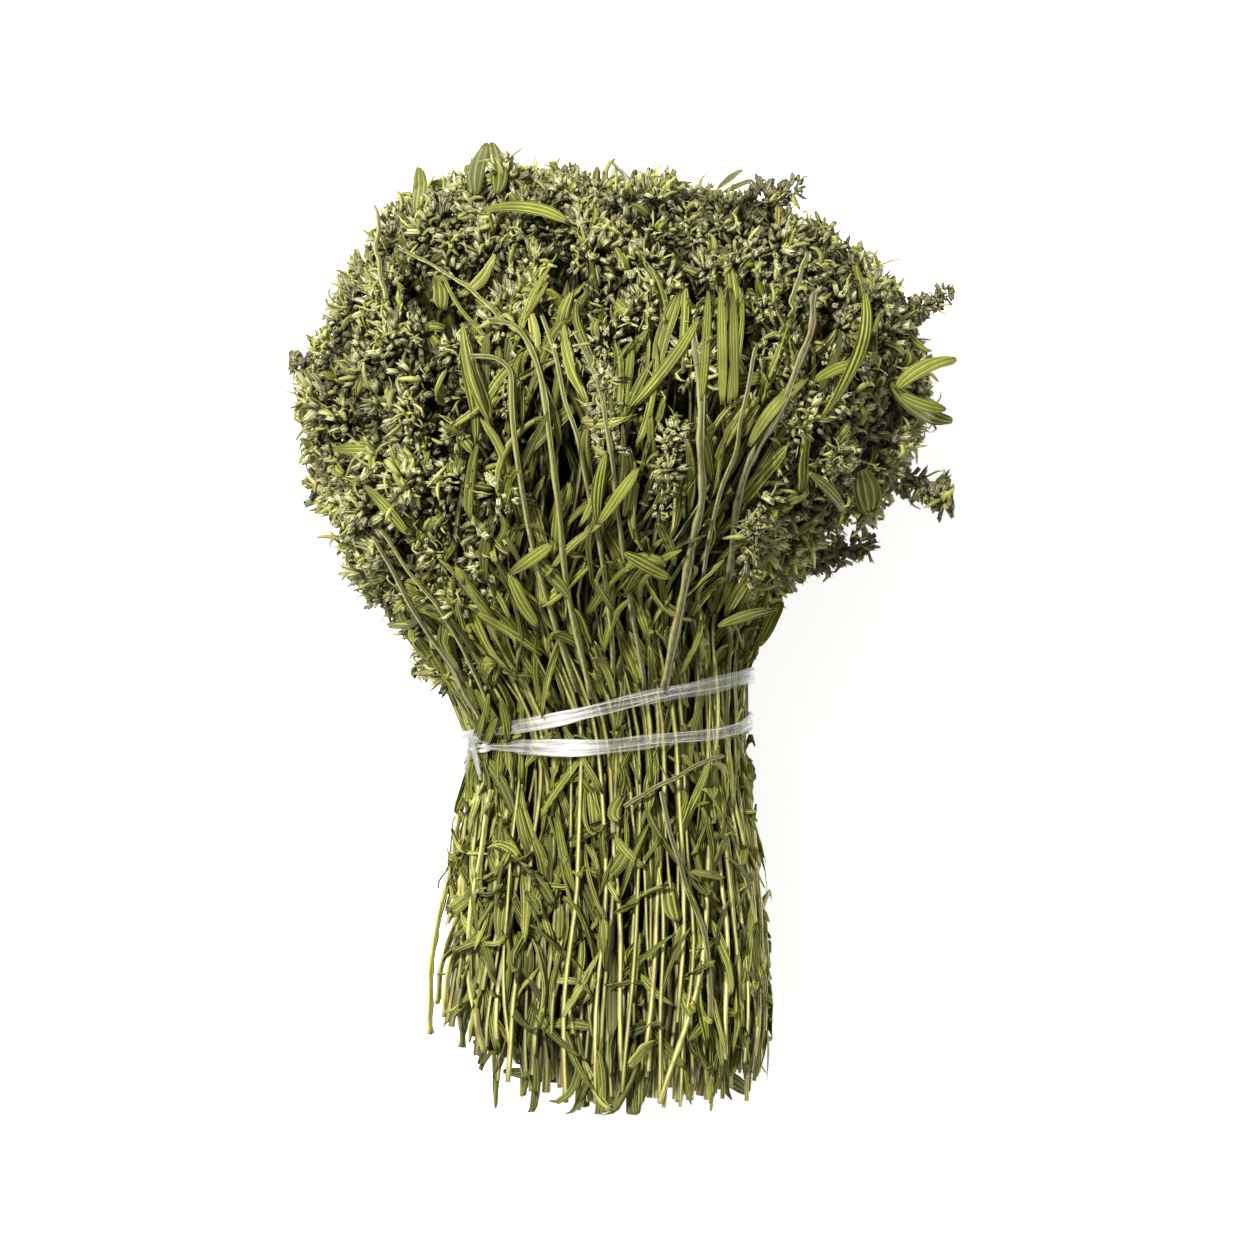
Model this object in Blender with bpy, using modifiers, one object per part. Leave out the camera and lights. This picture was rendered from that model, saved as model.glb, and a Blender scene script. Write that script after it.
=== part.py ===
"""A dried thyme bundle, tied with clear plastic twine and lying on its side.

The bundle lies along Y, from the cut stem ends (-Y) to the flower heads (+Y). X runs
across it and Z is up, with Z = 0 on the surface it rests on. Lengths below are in
millimetres, and MM turns them into Blender's metres.

Every outer sprig is a leafy stem that carries one flower head. The inner sprigs are so
closely packed that they are two bodies: the inner stems, which run out to cut ends, and
the inner flowers, which fill the space between the outer heads.
"""

import math
import random

import bmesh
import bpy
import numpy as np
from mathutils import Matrix, Vector

MM = 0.001
GAP = 0.4  # between neighbouring pieces

# Outline of the whole bundle: stations along Y, with the left, right, low and high edge.
OUTLINE = (
    (-125, -46, 35, -1, 60),
    (-98, -49, 38, -1, 62),
    (-62, -44, 36, 3, 62),
    (-25, -42.5, 33, 9, 66),
    (8, -67, 40, 4, 90),
    (35, -81, 67, 0, 112),
    (60, -89, 83, 0, 121),
    (85, -77, 77, 0, 115),
    (108, -61, 54, 10, 97),
    (124, -38, 22, 34, 76),
)
UNDERSIDE_FLATNESS = 0.7  # exponent below the middle: 1 is an ellipse, less is flatter
MIDDLE_HEIGHT = 0.48  # height of the widest line, as a share of the thickness

# The tie: two turns of flattened twine round the waist, which meet at the left.
WAIST_Y = -25.0
TWINE_WIDTH = 4.6
TWINE_THICKNESS = 0.9
TIE_TURNS = (  # middle Y, rise to the right, dip at the top, and how far it stands off
    (-18.9, 8.3, 0.0, 0.0),
    (-24.7, 2.4, 3.5, 0.5),
)
TIE_SIDES = 24
KNOT_ANGLE = math.radians(152)
KNOT_SIZE = (4.6, 6.0, 3.4)
TAIL_LENGTH = 12.0
TAIL_TURNS = (-0.5, 0.35)  # direction of each tail, in radians from straight down the stems

# Stems
STEM_RADIUS = 1.35
STEM_TIP_RADIUS = 0.95
WAIST_DEPTH = TWINE_THICKNESS + GAP + STEM_RADIUS + 0.8
STEM_POINTS = 8
CUT_Y = (-119.0, -98.0)  # of the longest and the shortest outer stems

# Flower heads of the outer sprigs, in rings: angles in degrees, 0 right and 90 up.
FLANK_FIRST, FLANK_STEP, FLANK_COUNT = 130, 30, 10
FLANK_Y = (16, 60)  # from a head's foot to its tip
SHOULDER_FRONT = (60, 85, 110)
SHOULDER_FRONT_Y = (56, 96)
SHOULDER_Y = (62, 108)
CROWN = (72, 98)
CROWN_Y = (98, 121)
PASSAGE_DEPTH = 19.0  # of a stem that runs up between lower heads
UNDERSIDE = (232, 308)  # heads here are pressed on the surface
STRAGGLERS = {  # heads that stand out: angle, with the foot's Y, the tip's Y, its stand-out, girth
    10: (13, 34, 17, 0.72),
    340: (12, 47, 5, 0.85),
    355: (58, 88, 15, 0.85),
    160: (28, 64, 4, 0.95),
    310: (18, 60, 0, 0.88),
    40: (20, 60, 0, 1.0),
}

HEAD_RADIUS = 12.5
HEAD_CORE_SHARE = 0.38
HEAD_BUDS = 11
PRESSED_DEPTH = 6.6  # height of a pressed head's middle above the surface
BUD_WIDTH = 8.8
BUD_SHOULDER = 0.62  # where a bud is widest, as a share of its length
BUD_LEAN = 0.6  # along the head's axis, against 1 out of it

# The packed inside of the bundle: its depth below the outline at each Y
CORE_DEPTH = ((-96, 12), (-62, 8.6), (-25, 6.8), (0, 10), (18, 19), (38, 28), (84, 30), (112, 25))
CORE_FOOT_Y, CORE_SPLIT_Y, CORE_TOP_Y = -97.0, 19.0, 112.0
SIDE_BUDS = 248
TOP_BUDS = 30
INNER_BUD_LENGTH = 23.0
INNER_BUD_WIDTH = 14.0
RIB_HEIGHT = 2.2
CUT_ENDS = 56
CUT_END_Y = (-119.0, -107.0)
VALLEY_ANGLES = (66, 79, 92, 104, 118)  # of inner stems that run up in front, where no low heads are
INNER_LEAVES = 50

LEAF_LENGTH = 19.0
LEAF_WIDTH = 5.0
LEAF_THICKNESS = 1.3
LEAF_STATIONS = (0.0, 0.25, 0.7, 1.0)
LEAVES_BELOW_TIE = (-84, -56)
LEAVES_ABOVE_TIE = (-2, 12, 26, 40, 54)
LEAF_RING = math.sin(math.pi / 3)  # radius of a unit sphere's two rings
GOLDEN_ANGLE = math.pi * (3 - math.sqrt(5))

COLOURS = {  # red, green, blue, roughness
    "leafy_stem": (0.30, 0.33, 0.10, 0.85),
    "flower_head": (0.27, 0.28, 0.17, 0.95),
    "twine": (0.85, 0.86, 0.84, 0.25),
}


# ---------------------------------------------------------------- the bundle's form


def smooth_between(stations, y, column):
    """A smooth curve through one column of the stations, read at y."""
    ys = [s[0] for s in stations]
    y = min(max(y, ys[0]), ys[-1])
    i = max(k for k in range(len(ys) - 1) if ys[k] <= y)

    def slope(k):
        lower, upper = max(k - 1, 0), min(k + 1, len(ys) - 1)
        return (stations[upper][column] - stations[lower][column]) / (ys[upper] - ys[lower])

    span = ys[i + 1] - ys[i]
    t = (y - ys[i]) / span
    start, end = stations[i][column], stations[i + 1][column]
    return (
        (2 * t**3 - 3 * t**2 + 1) * start
        + (t**3 - 2 * t**2 + t) * span * slope(i)
        + (3 * t**2 - 2 * t**3) * end
        + (t**3 - t**2) * span * slope(i + 1)
    )


def place(angle, y, depth):
    """The point at that angle round the bundle (0 right, 90 degrees up), depth below its outline."""
    left, right, low, high = (smooth_between(OUTLINE, y, k) for k in (1, 2, 3, 4))
    middle = low + (high - low) * MIDDLE_HEIGHT
    across = max((right - left) / 2 - depth, 0.5)
    rise = max((high - middle if math.sin(angle) > 0 else middle - low) - depth, 0.5)
    lift = math.sin(angle)
    if lift < 0:
        lift = -(abs(lift) ** UNDERSIDE_FLATNESS)
    return Vector(((left + right) / 2 + across * math.cos(angle), y, middle + rise * lift))


def outward(angle, y):
    """Unit vector out of the bundle's side at that place."""
    return (place(angle, y, 0) - place(angle, y, 6)).normalized()


def core_depth(y):
    return smooth_between(CORE_DEPTH, y, 1)


def spline(keys, count):
    """count points on a smooth curve through the keys."""
    points = []
    last = len(keys) - 1
    for n in range(count):
        u = n / (count - 1) * last
        i = min(int(u), last - 1)
        t = u - i
        p0, p1, p2, p3 = (keys[min(max(k, 0), last)] for k in (i - 1, i, i + 1, i + 2))
        points.append(
            0.5
            * (
                2 * p1
                + (p2 - p0) * t
                + (2 * p0 - 5 * p1 + 4 * p2 - p3) * t**2
                + (3 * p1 - p0 - 3 * p2 + p3) * t**3
            )
        )
    return points


# ---------------------------------------------------------------- what is taken already


class Space:
    """Balls that stand for the pieces placed so far, each with its owner's name."""

    def __init__(self):
        self.points = np.zeros((0, 3))
        self.radii = np.zeros(0)
        self.owners = np.zeros(0, dtype=object)

    def take(self, owner, balls):
        self.points = np.vstack([self.points, [list(p) for p, _ in balls]])
        self.radii = np.append(self.radii, [r for _, r in balls])
        self.owners = np.append(self.owners, np.array([owner] * len(balls), dtype=object))

    def free(self, owner, balls, gap=GAP):
        others = self.owners != owner
        points, radii = self.points[others], self.radii[others]
        return all(
            (np.linalg.norm(points - np.array(p), axis=1) > radii + r + gap).all()
            for p, r in balls
        )


# ---------------------------------------------------------------- Blender helpers


def clear_scene():
    for obj in list(bpy.data.objects):
        bpy.data.objects.remove(obj)


def new_collection(name):
    collection = bpy.data.collections.new(name)
    bpy.context.scene.collection.children.link(collection)
    return collection


def new_material(name):
    red, green, blue, rough = COLOURS[name]
    material = bpy.data.materials.new(name)
    material.use_nodes = True
    shader = material.node_tree.nodes["Principled BSDF"]
    shader.inputs["Base Color"].default_value = (red, green, blue, 1)
    shader.inputs["Roughness"].default_value = rough
    material.diffuse_color = (red, green, blue, 1)
    return material


def add_mesh(name, bm, collection):
    """The bmesh, given in millimetres, as a new object with its faces turned outwards."""
    if bm.calc_volume(signed=True) < 0:
        bmesh.ops.reverse_faces(bm, faces=bm.faces)
    bm.transform(Matrix.Scale(MM, 4))
    mesh = bpy.data.meshes.new(name)
    bm.to_mesh(mesh)
    bm.free()
    obj = bpy.data.objects.new(name, mesh)
    collection.objects.link(obj)
    return obj


def evaluated_mesh(obj):
    bpy.context.view_layer.update()
    graph = bpy.context.evaluated_depsgraph_get()
    return bpy.data.meshes.new_from_object(obj.evaluated_get(graph))


def fuse(name, body, repeats, material, collection):
    """body and every object of the repeats collection as one solid, cut flat where it meets the surface."""
    join = body.modifiers.new("join", "BOOLEAN")
    join.operation = "UNION"
    join.operand_type = "COLLECTION"
    join.collection = repeats
    joined = drop_scraps(evaluated_mesh(body))
    for obj in [body, *repeats.objects]:
        bpy.data.objects.remove(obj)
    joined.name = name
    joined.materials.clear()
    joined.materials.append(material)
    result = bpy.data.objects.new(name, joined)
    collection.objects.link(result)
    if min(v.co.z for v in joined.vertices) < 0:
        press = result.modifiers.new("pressed_flat", "BOOLEAN")
        press.operation = "DIFFERENCE"
        press.object = SURFACE
    return result


def drop_scraps(mesh):
    """The mesh without the small loose pieces that a union can leave."""
    bm = bmesh.new()
    bm.from_mesh(mesh)
    islands, seen = [], set()
    for start in bm.verts:
        if start in seen:
            continue
        island, front = {start}, [start]
        while front:
            for edge in front.pop().link_edges:
                for vert in edge.verts:
                    if vert not in island:
                        island.add(vert)
                        front.append(vert)
        seen |= island
        islands.append(island)
    islands.sort(key=len)
    bmesh.ops.delete(bm, geom=[v for island in islands[:-1] for v in island], context="VERTS")
    bm.to_mesh(mesh)
    bm.free()
    return mesh


def make_surface(collection):
    """The cutter: everything below Z = 0."""
    bm = bmesh.new()
    bmesh.ops.create_cube(bm, size=1)
    bmesh.ops.scale(bm, vec=(400, 400, 40), verts=bm.verts)
    bmesh.ops.translate(bm, vec=(0, 0, -20), verts=bm.verts)
    surface = add_mesh("resting_surface", bm, collection)
    surface.hide_render = True
    surface.display_type = "WIRE"
    return surface


# ---------------------------------------------------------------- shapes


def stem_shape(points, first_radius, last_radius, collection):
    """A square stem, as thyme has, along the points."""
    curve = bpy.data.curves.new("stem", "CURVE")
    curve.dimensions = "3D"
    curve.bevel_depth = first_radius * MM
    curve.bevel_resolution = 0
    curve.use_fill_caps = True
    line = curve.splines.new("POLY")
    line.points.add(len(points) - 1)
    for n, point in enumerate(points):
        share = n / (len(points) - 1)
        line.points[n].co = (*(point * MM), 1)
        line.points[n].radius = 1 + (last_radius / first_radius - 1) * share
    tube = bpy.data.objects.new("stem_curve", curve)
    collection.objects.link(tube)
    mesh = evaluated_mesh(tube)
    bpy.data.objects.remove(tube)
    bm = bmesh.new()
    bm.from_mesh(mesh)
    bmesh.ops.remove_doubles(bm, verts=bm.verts, dist=1e-6)
    bmesh.ops.recalc_face_normals(bm, faces=bm.faces)
    bm.to_mesh(mesh)
    bm.free()
    obj = bpy.data.objects.new("stem", mesh)
    collection.objects.link(obj)
    return obj


def leaf_line(base, along, out, length, arch):
    """Points down the middle of a leaf that leaves base along `along` and arches towards `out`."""
    return [
        base + along * length * s + out * arch * (math.sin(math.pi * s) - 0.55 * s * s)
        for s in LEAF_STATIONS
    ]


def leaf_shape(line, out, collection):
    """A narrow blade along the line: four-sided sections between two pointed ends."""
    bm = bmesh.new()
    last = len(line) - 1
    bmesh.ops.create_uvsphere(bm, u_segments=4, v_segments=last, radius=1)
    for vert in bm.verts:
        n = round(last * math.acos(max(min(-vert.co.z, 1), -1)) / math.pi)
        along = (line[min(n + 1, last)] - line[max(n - 1, 0)]).normalized()
        side = along.cross(out).normalized()
        half_width = side * vert.co.x * LEAF_WIDTH / 2 / LEAF_RING
        half_thickness = side.cross(along) * vert.co.y * LEAF_THICKNESS / 2 / LEAF_RING
        vert.co = line[n] + half_width + half_thickness
    return add_mesh("leaf", bm, collection)


def bud_shape(root, direction, length, width, collection):
    """A blunt three-sided bud, from its root, which is sunk in what it grows from, to its tip."""
    bm = bmesh.new()
    bmesh.ops.create_uvsphere(bm, u_segments=3, v_segments=2, radius=1)
    for vert in bm.verts:
        if abs(vert.co.z) < 0.5:
            vert.co.z = 2 * BUD_SHOULDER - 1
    turn = direction.to_track_quat("Z", "X").to_matrix().to_4x4()
    size = Matrix.Diagonal((width / 2, width / 2, length / 2, 1))
    bm.transform(Matrix.Translation(root + direction * length / 2) @ turn @ size)
    return add_mesh("bud", bm, collection)


def barrel_shape(sides, rings, centre_of, collection):
    """A closed round body: centre_of(angle, share of its length, share of its radius) is its surface."""
    bm = bmesh.new()
    bmesh.ops.create_uvsphere(bm, u_segments=sides, v_segments=rings, radius=1)
    for vert in bm.verts:
        angle = math.atan2(vert.co.y, vert.co.x)
        share = (vert.co.z + 1) / 2
        vert.co = centre_of(angle, share, math.hypot(vert.co.x, vert.co.y))
    return add_mesh("barrel", bm, collection)


# ---------------------------------------------------------------- the sprigs

def sprig_plan():
    """Each outer sprig, as a dict, sorted round the bundle."""
    rng = random.Random(11)
    heads = []
    for n in range(FLANK_COUNT):
        angle = (FLANK_FIRST + n * FLANK_STEP) % 360
        heads.append((angle, *FLANK_Y))
        if n + 1 < FLANK_COUNT:
            heads.append(((angle + FLANK_STEP / 2) % 360, *SHOULDER_Y))
    heads += [(angle, *SHOULDER_FRONT_Y) for angle in SHOULDER_FRONT]
    heads += [(angle, *CROWN_Y) for angle in CROWN]
    heads += [(angle, 0, 0) for angle in STRAGGLERS if angle not in [h[0] for h in heads]]
    plan = []
    for angle, foot_y, tip_y in sorted(heads):
        slide = rng.uniform(-2.0, 2.0)
        foot_y, tip_y, stand_out, girth = STRAGGLERS.get(
            angle, (foot_y + slide, tip_y + slide, rng.uniform(-1.0, 1.5), rng.uniform(0.92, 1.0))
        )
        plan.append(
            {
                "angle": math.radians(angle),
                "foot_y": foot_y,
                "tip_y": tip_y,
                "stand_out": stand_out,
                "radius": HEAD_RADIUS * girth * (0.8 if foot_y > 90 else 1),
                "pressed": UNDERSIDE[0] < angle < UNDERSIDE[1] and foot_y < 40,
            }
        )
    first = plan[0]["angle"]
    for n, sprig in enumerate(plan):
        sprig["name"] = f"{n + 1:02d}"
        sprig["waist"] = first + 2 * math.pi * n / len(plan)
        sprig["cut_y"] = CUT_Y[0] + (CUT_Y[1] - CUT_Y[0]) * abs(math.cos(sprig["waist"])) ** 2
        sprig["cut_y"] += rng.uniform(-5, 4)
        sprig["splay"] = rng.uniform(-0.07, 0.07)
    centre_turns(plan)
    return plan


def centre_turns(plan):
    """Turns the waist round so that, on average, the sprigs run straight up to their heads."""
    turn = sum(wrapped(s["angle"] - s["waist"]) for s in plan) / len(plan)
    for sprig in plan:
        sprig["waist"] += turn


def wrapped(angle):
    return (angle + math.pi) % (2 * math.pi) - math.pi


def sprig_lines(sprig):
    """Points of one sprig's stem, from its cut end, and of its head's axis, up to the tip."""
    waist, foot_y, tip_y = sprig["waist"], sprig["foot_y"], sprig["tip_y"]
    head = sprig["angle"]
    turn = wrapped(head - waist)
    cut = waist + sprig["splay"]
    under = math.sin(waist) < -0.5
    passage = min(PASSAGE_DEPTH, 8 + max(foot_y - 16, 0) * 0.3)
    middle_depth = PRESSED_DEPTH if sprig["pressed"] else sprig["radius"]
    axis = [
        place(head, foot_y, max(middle_depth, 9)),
        place(head, (foot_y + tip_y) / 2, middle_depth),
        place(head, tip_y, middle_depth - 2) + outward(head, tip_y) * sprig["stand_out"],
    ]
    keys = [
        place(cut, sprig["cut_y"], 1.0 if under else 3.0),
        place((cut + waist) / 2, -66, 4.2),
        place(waist, WAIST_Y - 12, WAIST_DEPTH),
        place(waist, WAIST_Y, WAIST_DEPTH),
        place(waist, WAIST_Y + 14, WAIST_DEPTH + 0.4),
        place(waist + turn * 0.4, min(3, foot_y - 6), 6),
    ]
    if foot_y > 12:
        keys.append(place(waist + turn * 0.9, min(foot_y - 6, 22), passage * 0.88))
    if foot_y > 40:
        keys.append(place(head, 38, passage))
    if foot_y > 80:
        keys.append(place(head, 78, passage))
    keys.append(axis[0] - (axis[1] - axis[0]).normalized() * 2 * GAP)
    return spline(keys, STEM_POINTS + 2 * (foot_y > 40)), spline(axis, 7)


def head_girth(share):
    """A head's radius along its axis, as a share of its widest."""
    return 0.34 + 0.66 * math.sin(math.pi * min(share * 0.92 + 0.02, 1)) ** 0.7


def head_balls(axis, radius):
    last = len(axis) - 1
    return [(point, radius * head_girth(n / last)) for n, point in enumerate(axis)]


def flower_head(sprig, axis, collection, material):
    """A spindle with buds set round it by the golden angle."""
    radius = sprig["radius"]
    last = len(axis) - 1
    start_frame = (axis[1] - axis[0]).normalized()
    side = start_frame.orthogonal().normalized()
    other = start_frame.cross(side)
    repeats = new_collection("buds")

    def on_axis(share):
        n = min(int(share * last), last - 1)
        return axis[n].lerp(axis[n + 1], share * last - n)

    def spindle(angle, share, unit):
        girth = radius * HEAD_CORE_SHARE * head_girth(share) * unit**0.5
        return on_axis(share) + (side * math.cos(angle) + other * math.sin(angle)) * girth

    body = barrel_shape(5, 4, spindle, collection)
    for n in range(HEAD_BUDS):
        share = 0.06 + 0.88 * n / (HEAD_BUDS - 1)
        angle = n * GOLDEN_ANGLE
        out = side * math.cos(angle) + other * math.sin(angle)
        direction = (out + start_frame * BUD_LEAN).normalized()
        full = radius * head_girth(share)
        root = on_axis(share) + out * full * 0.12
        bud_shape(root, direction, full * 0.98, BUD_WIDTH * (0.7 + 0.3 * head_girth(share)), repeats)
    return fuse("flower_head_" + sprig["name"], body, repeats, material, collection)


def leaf_balls(line):
    base, lower, upper, tip = line
    middle = lower.lerp(upper, 0.5)
    half = LEAF_WIDTH / 2
    return [
        (base.lerp(lower, 0.6), half * 0.6),
        (lower, half),
        (middle, half),
        (upper, half),
        (upper.lerp(tip, 0.6), half / 2),
    ]


def leafy_stem(sprig, points, space, rng, collection, material):
    """The stem with its leaves, each turned until it lies clear of the other sprigs."""
    owner = "stem_" + sprig["name"]
    body = stem_shape(points, STEM_RADIUS, STEM_TIP_RADIUS, collection)
    repeats = new_collection("leaves")
    top = sprig["foot_y"] - 4
    stations = [y for y in LEAVES_BELOW_TIE if y > sprig["cut_y"] + 8]
    stations += [y for y in LEAVES_ABOVE_TIE if y < top]
    for y in stations:
        y += rng.uniform(-5, 5)
        n = min(range(len(points) - 1), key=lambda k: abs(points[k].y - y))
        share = min(max((y - points[n].y) / (points[n + 1].y - points[n].y), 0), 1)
        base = points[n].lerp(points[n + 1], share)
        upward = (points[n + 1] - points[n]).normalized()
        out = (base - place(0, y, 999).lerp(place(math.pi, y, 999), 0.5)).normalized()
        for attempt in range(14):
            swing = rng.uniform(-0.75, 0.75) * (1 - attempt / 28)
            heading = upward if y > WAIST_Y or rng.random() < 0.5 else -upward
            side = heading.cross(out).normalized()
            along = heading * math.cos(swing) + side * math.sin(swing) + out * 0.18
            length = LEAF_LENGTH * rng.uniform(0.75, 1.1) * (1 - attempt / 40)
            line = leaf_line(base, along.normalized(), out, length, rng.uniform(1.5, 4.0))
            balls = leaf_balls(line)
            if min(p.z for p, _ in balls) > 1.0 and space.free(owner, balls):
                leaf_shape(line, out, repeats)
                space.take(owner, balls)
                break
    return fuse("leafy_stem_" + sprig["name"], body, repeats, material, collection)


# ---------------------------------------------------------------- the tie


def turn_y(angle, turn):
    middle, rise, dip, _ = TIE_TURNS[turn]
    return middle + rise * math.cos(angle) - dip * max(math.sin(angle), 0)


def twine_turn(turn, collection):
    """One turn: an open ring on the outline, thickened towards the stems."""
    bm = bmesh.new()
    bmesh.ops.create_cone(
        bm, segments=TIE_SIDES, radius1=1, radius2=1, depth=TWINE_WIDTH, cap_ends=False
    )
    for vert in bm.verts:
        angle = math.atan2(vert.co.y, vert.co.x)
        vert.co = place(angle, turn_y(angle, turn) + vert.co.z, -TIE_TURNS[turn][3])
    ring = add_mesh("turn", bm, collection)
    wall = ring.modifiers.new("wall", "SOLIDIFY")
    wall.thickness = TWINE_THICKNESS * MM
    wall.offset = -1
    return ring


def twine_tail(turn, collection):
    """A short flat end of the twine, lying down the stems from the knot."""
    centre = place(KNOT_ANGLE, turn_y(KNOT_ANGLE, 0), -0.6)
    out = outward(KNOT_ANGLE, WAIST_Y)
    down = Vector((0, -1, 0))
    side = out.cross(down).normalized()
    heading = (down * math.cos(turn) + side * math.sin(turn)).normalized()
    across = out.cross(heading).normalized()
    bm = bmesh.new()
    bmesh.ops.create_cube(bm, size=1)
    for vert in bm.verts:
        forward = (vert.co.z + 0.5) * TAIL_LENGTH
        vert.co = (
            centre
            + heading * forward
            + across * vert.co.x * TWINE_WIDTH * 0.6
            + out * (vert.co.y * TWINE_THICKNESS + 1.2)
        )
    return add_mesh("tail", bm, collection)


def twine_tie(space, collection, material):
    repeats = new_collection("turns")
    body = twine_turn(0, collection)
    twine_turn(1, repeats)
    centre = place(KNOT_ANGLE, turn_y(KNOT_ANGLE, 0), -0.8)
    turn = outward(KNOT_ANGLE, WAIST_Y).to_track_quat("Z", "Y").to_matrix().to_4x4()
    bm = bmesh.new()
    bmesh.ops.create_uvsphere(bm, u_segments=8, v_segments=5, radius=0.5)
    bm.transform(Matrix.Translation(centre) @ turn @ Matrix.Diagonal((*KNOT_SIZE, 1)))
    add_mesh("knot", bm, repeats)
    for tail in TAIL_TURNS:
        twine_tail(tail, repeats)
    for turn in range(len(TIE_TURNS)):
        for n in range(2 * TIE_SIDES):
            angle = math.pi * n / TIE_SIDES
            ball = (place(angle, turn_y(angle, turn), 0.2), TWINE_WIDTH / 2 + 0.2)
            space.take("tie", [ball])
    space.take("tie", [(centre - Vector((0, y, 0)), 5.0) for y in (0, 5, 10)])
    return fuse("twine_tie", body, repeats, material, collection)


# ---------------------------------------------------------------- the packed inside


def core_surface(angle, y, rise=0.0):
    return place(angle, y, core_depth(y) - rise)


def core_body(foot_y, top_y, sides, rings, ribs_at, rounding, collection):
    """Part of the packed inside, between two Y.

    ribs_at is the angle of a rib, where a stem is half sunk between two outer stems, or None.
    rounding holds the exponents of the roundness of the foot and the top, 0 for a flat end.
    """
    end_ring = (1 - math.cos(math.pi / rings)) / 2
    foot_cut, top_cut = (0 if exponent else end_ring for exponent in rounding)

    def surface(angle, share, unit):
        along = min(max((share - foot_cut) / (1 - foot_cut - top_cut), 0), 1)
        y = foot_y + (top_y - foot_y) * along
        if unit < 0.01:
            return core_middle(y)
        rib = 0
        if ribs_at is not None:
            rib = math.cos(sides / 2 * angle) * RIB_HEIGHT / 2
            angle += ribs_at
        return core_middle(y).lerp(core_surface(angle, y, rib), unit ** rounding[share > 0.5])

    return barrel_shape(sides, rings, surface, collection)


def core_middle(y):
    middle = core_surface(0, y).lerp(core_surface(math.pi, y), 0.5)
    middle.z = (core_surface(math.pi / 2, y).z + core_surface(-math.pi / 2, y).z) / 2
    return middle


def take_core(space, owner, foot_y, top_y):
    """The core's surface as balls, so that what lies on it stays above it."""
    step = 3.5
    rows = int((top_y - foot_y) / step)
    for row in range(rows + 1):
        y = foot_y + row * (top_y - foot_y) / rows
        count = 60
        balls = [(core_surface(2 * math.pi * k / count, y, -0.8), 1.0) for k in range(count)]
        space.take(owner, balls)


def inner_flowers(space, rng, collection, material):
    """The heads of the inner sprigs: blunt buds that stand out of their core between the outer heads."""
    owner = "inner_flowers"
    body = core_body(CORE_SPLIT_Y + GAP / 2, CORE_TOP_Y, 14, 9, None, (0, 0.35), collection)
    repeats = new_collection("inner_buds")
    roots = []
    for n in range(SIDE_BUDS):
        share = (n + 0.5) / SIDE_BUDS
        y = CORE_SPLIT_Y + 6 + (CORE_TOP_Y - CORE_SPLIT_Y - 10) * share
        angle = n * GOLDEN_ANGLE
        lean = Vector((0, 0.3 + 1.2 * share**3, 0))
        roots.append((core_surface(angle, y, -3), outward(angle, y) + lean))
    for n in range(TOP_BUDS):
        reach = math.sqrt((n + 0.5) / TOP_BUDS) * 0.9
        angle = n * GOLDEN_ANGLE
        edge = core_surface(angle, CORE_TOP_Y, 0)
        root = core_middle(CORE_TOP_Y).lerp(edge, reach) - Vector((0, 9 + 3 * reach, 0))
        roots.append((root, Vector((0, 1, 0)) + outward(angle, CORE_TOP_Y) * 1.2 * reach))
    for root, heading in roots:
        for shrink in (1.0, 0.85, 0.7, 0.58, 0.48):
            length = INNER_BUD_LENGTH * shrink * rng.uniform(0.9, 1.1)
            lean = Vector([rng.uniform(-0.25, 0.25) for _ in range(3)])
            direction = (heading.normalized() + lean).normalized()
            width = INNER_BUD_WIDTH * (0.3 + 0.7 * shrink)
            balls = [(root + direction * length * k, width * w) for k, w in ((0.62, 0.43), (0.85, 0.2))]
            if min(p.z - r for p, r in balls) > 0.3 and space.free(owner, balls):
                bud_shape(root, direction, length, width, repeats)
                break
    return fuse(owner, body, repeats, material, collection)


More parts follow.
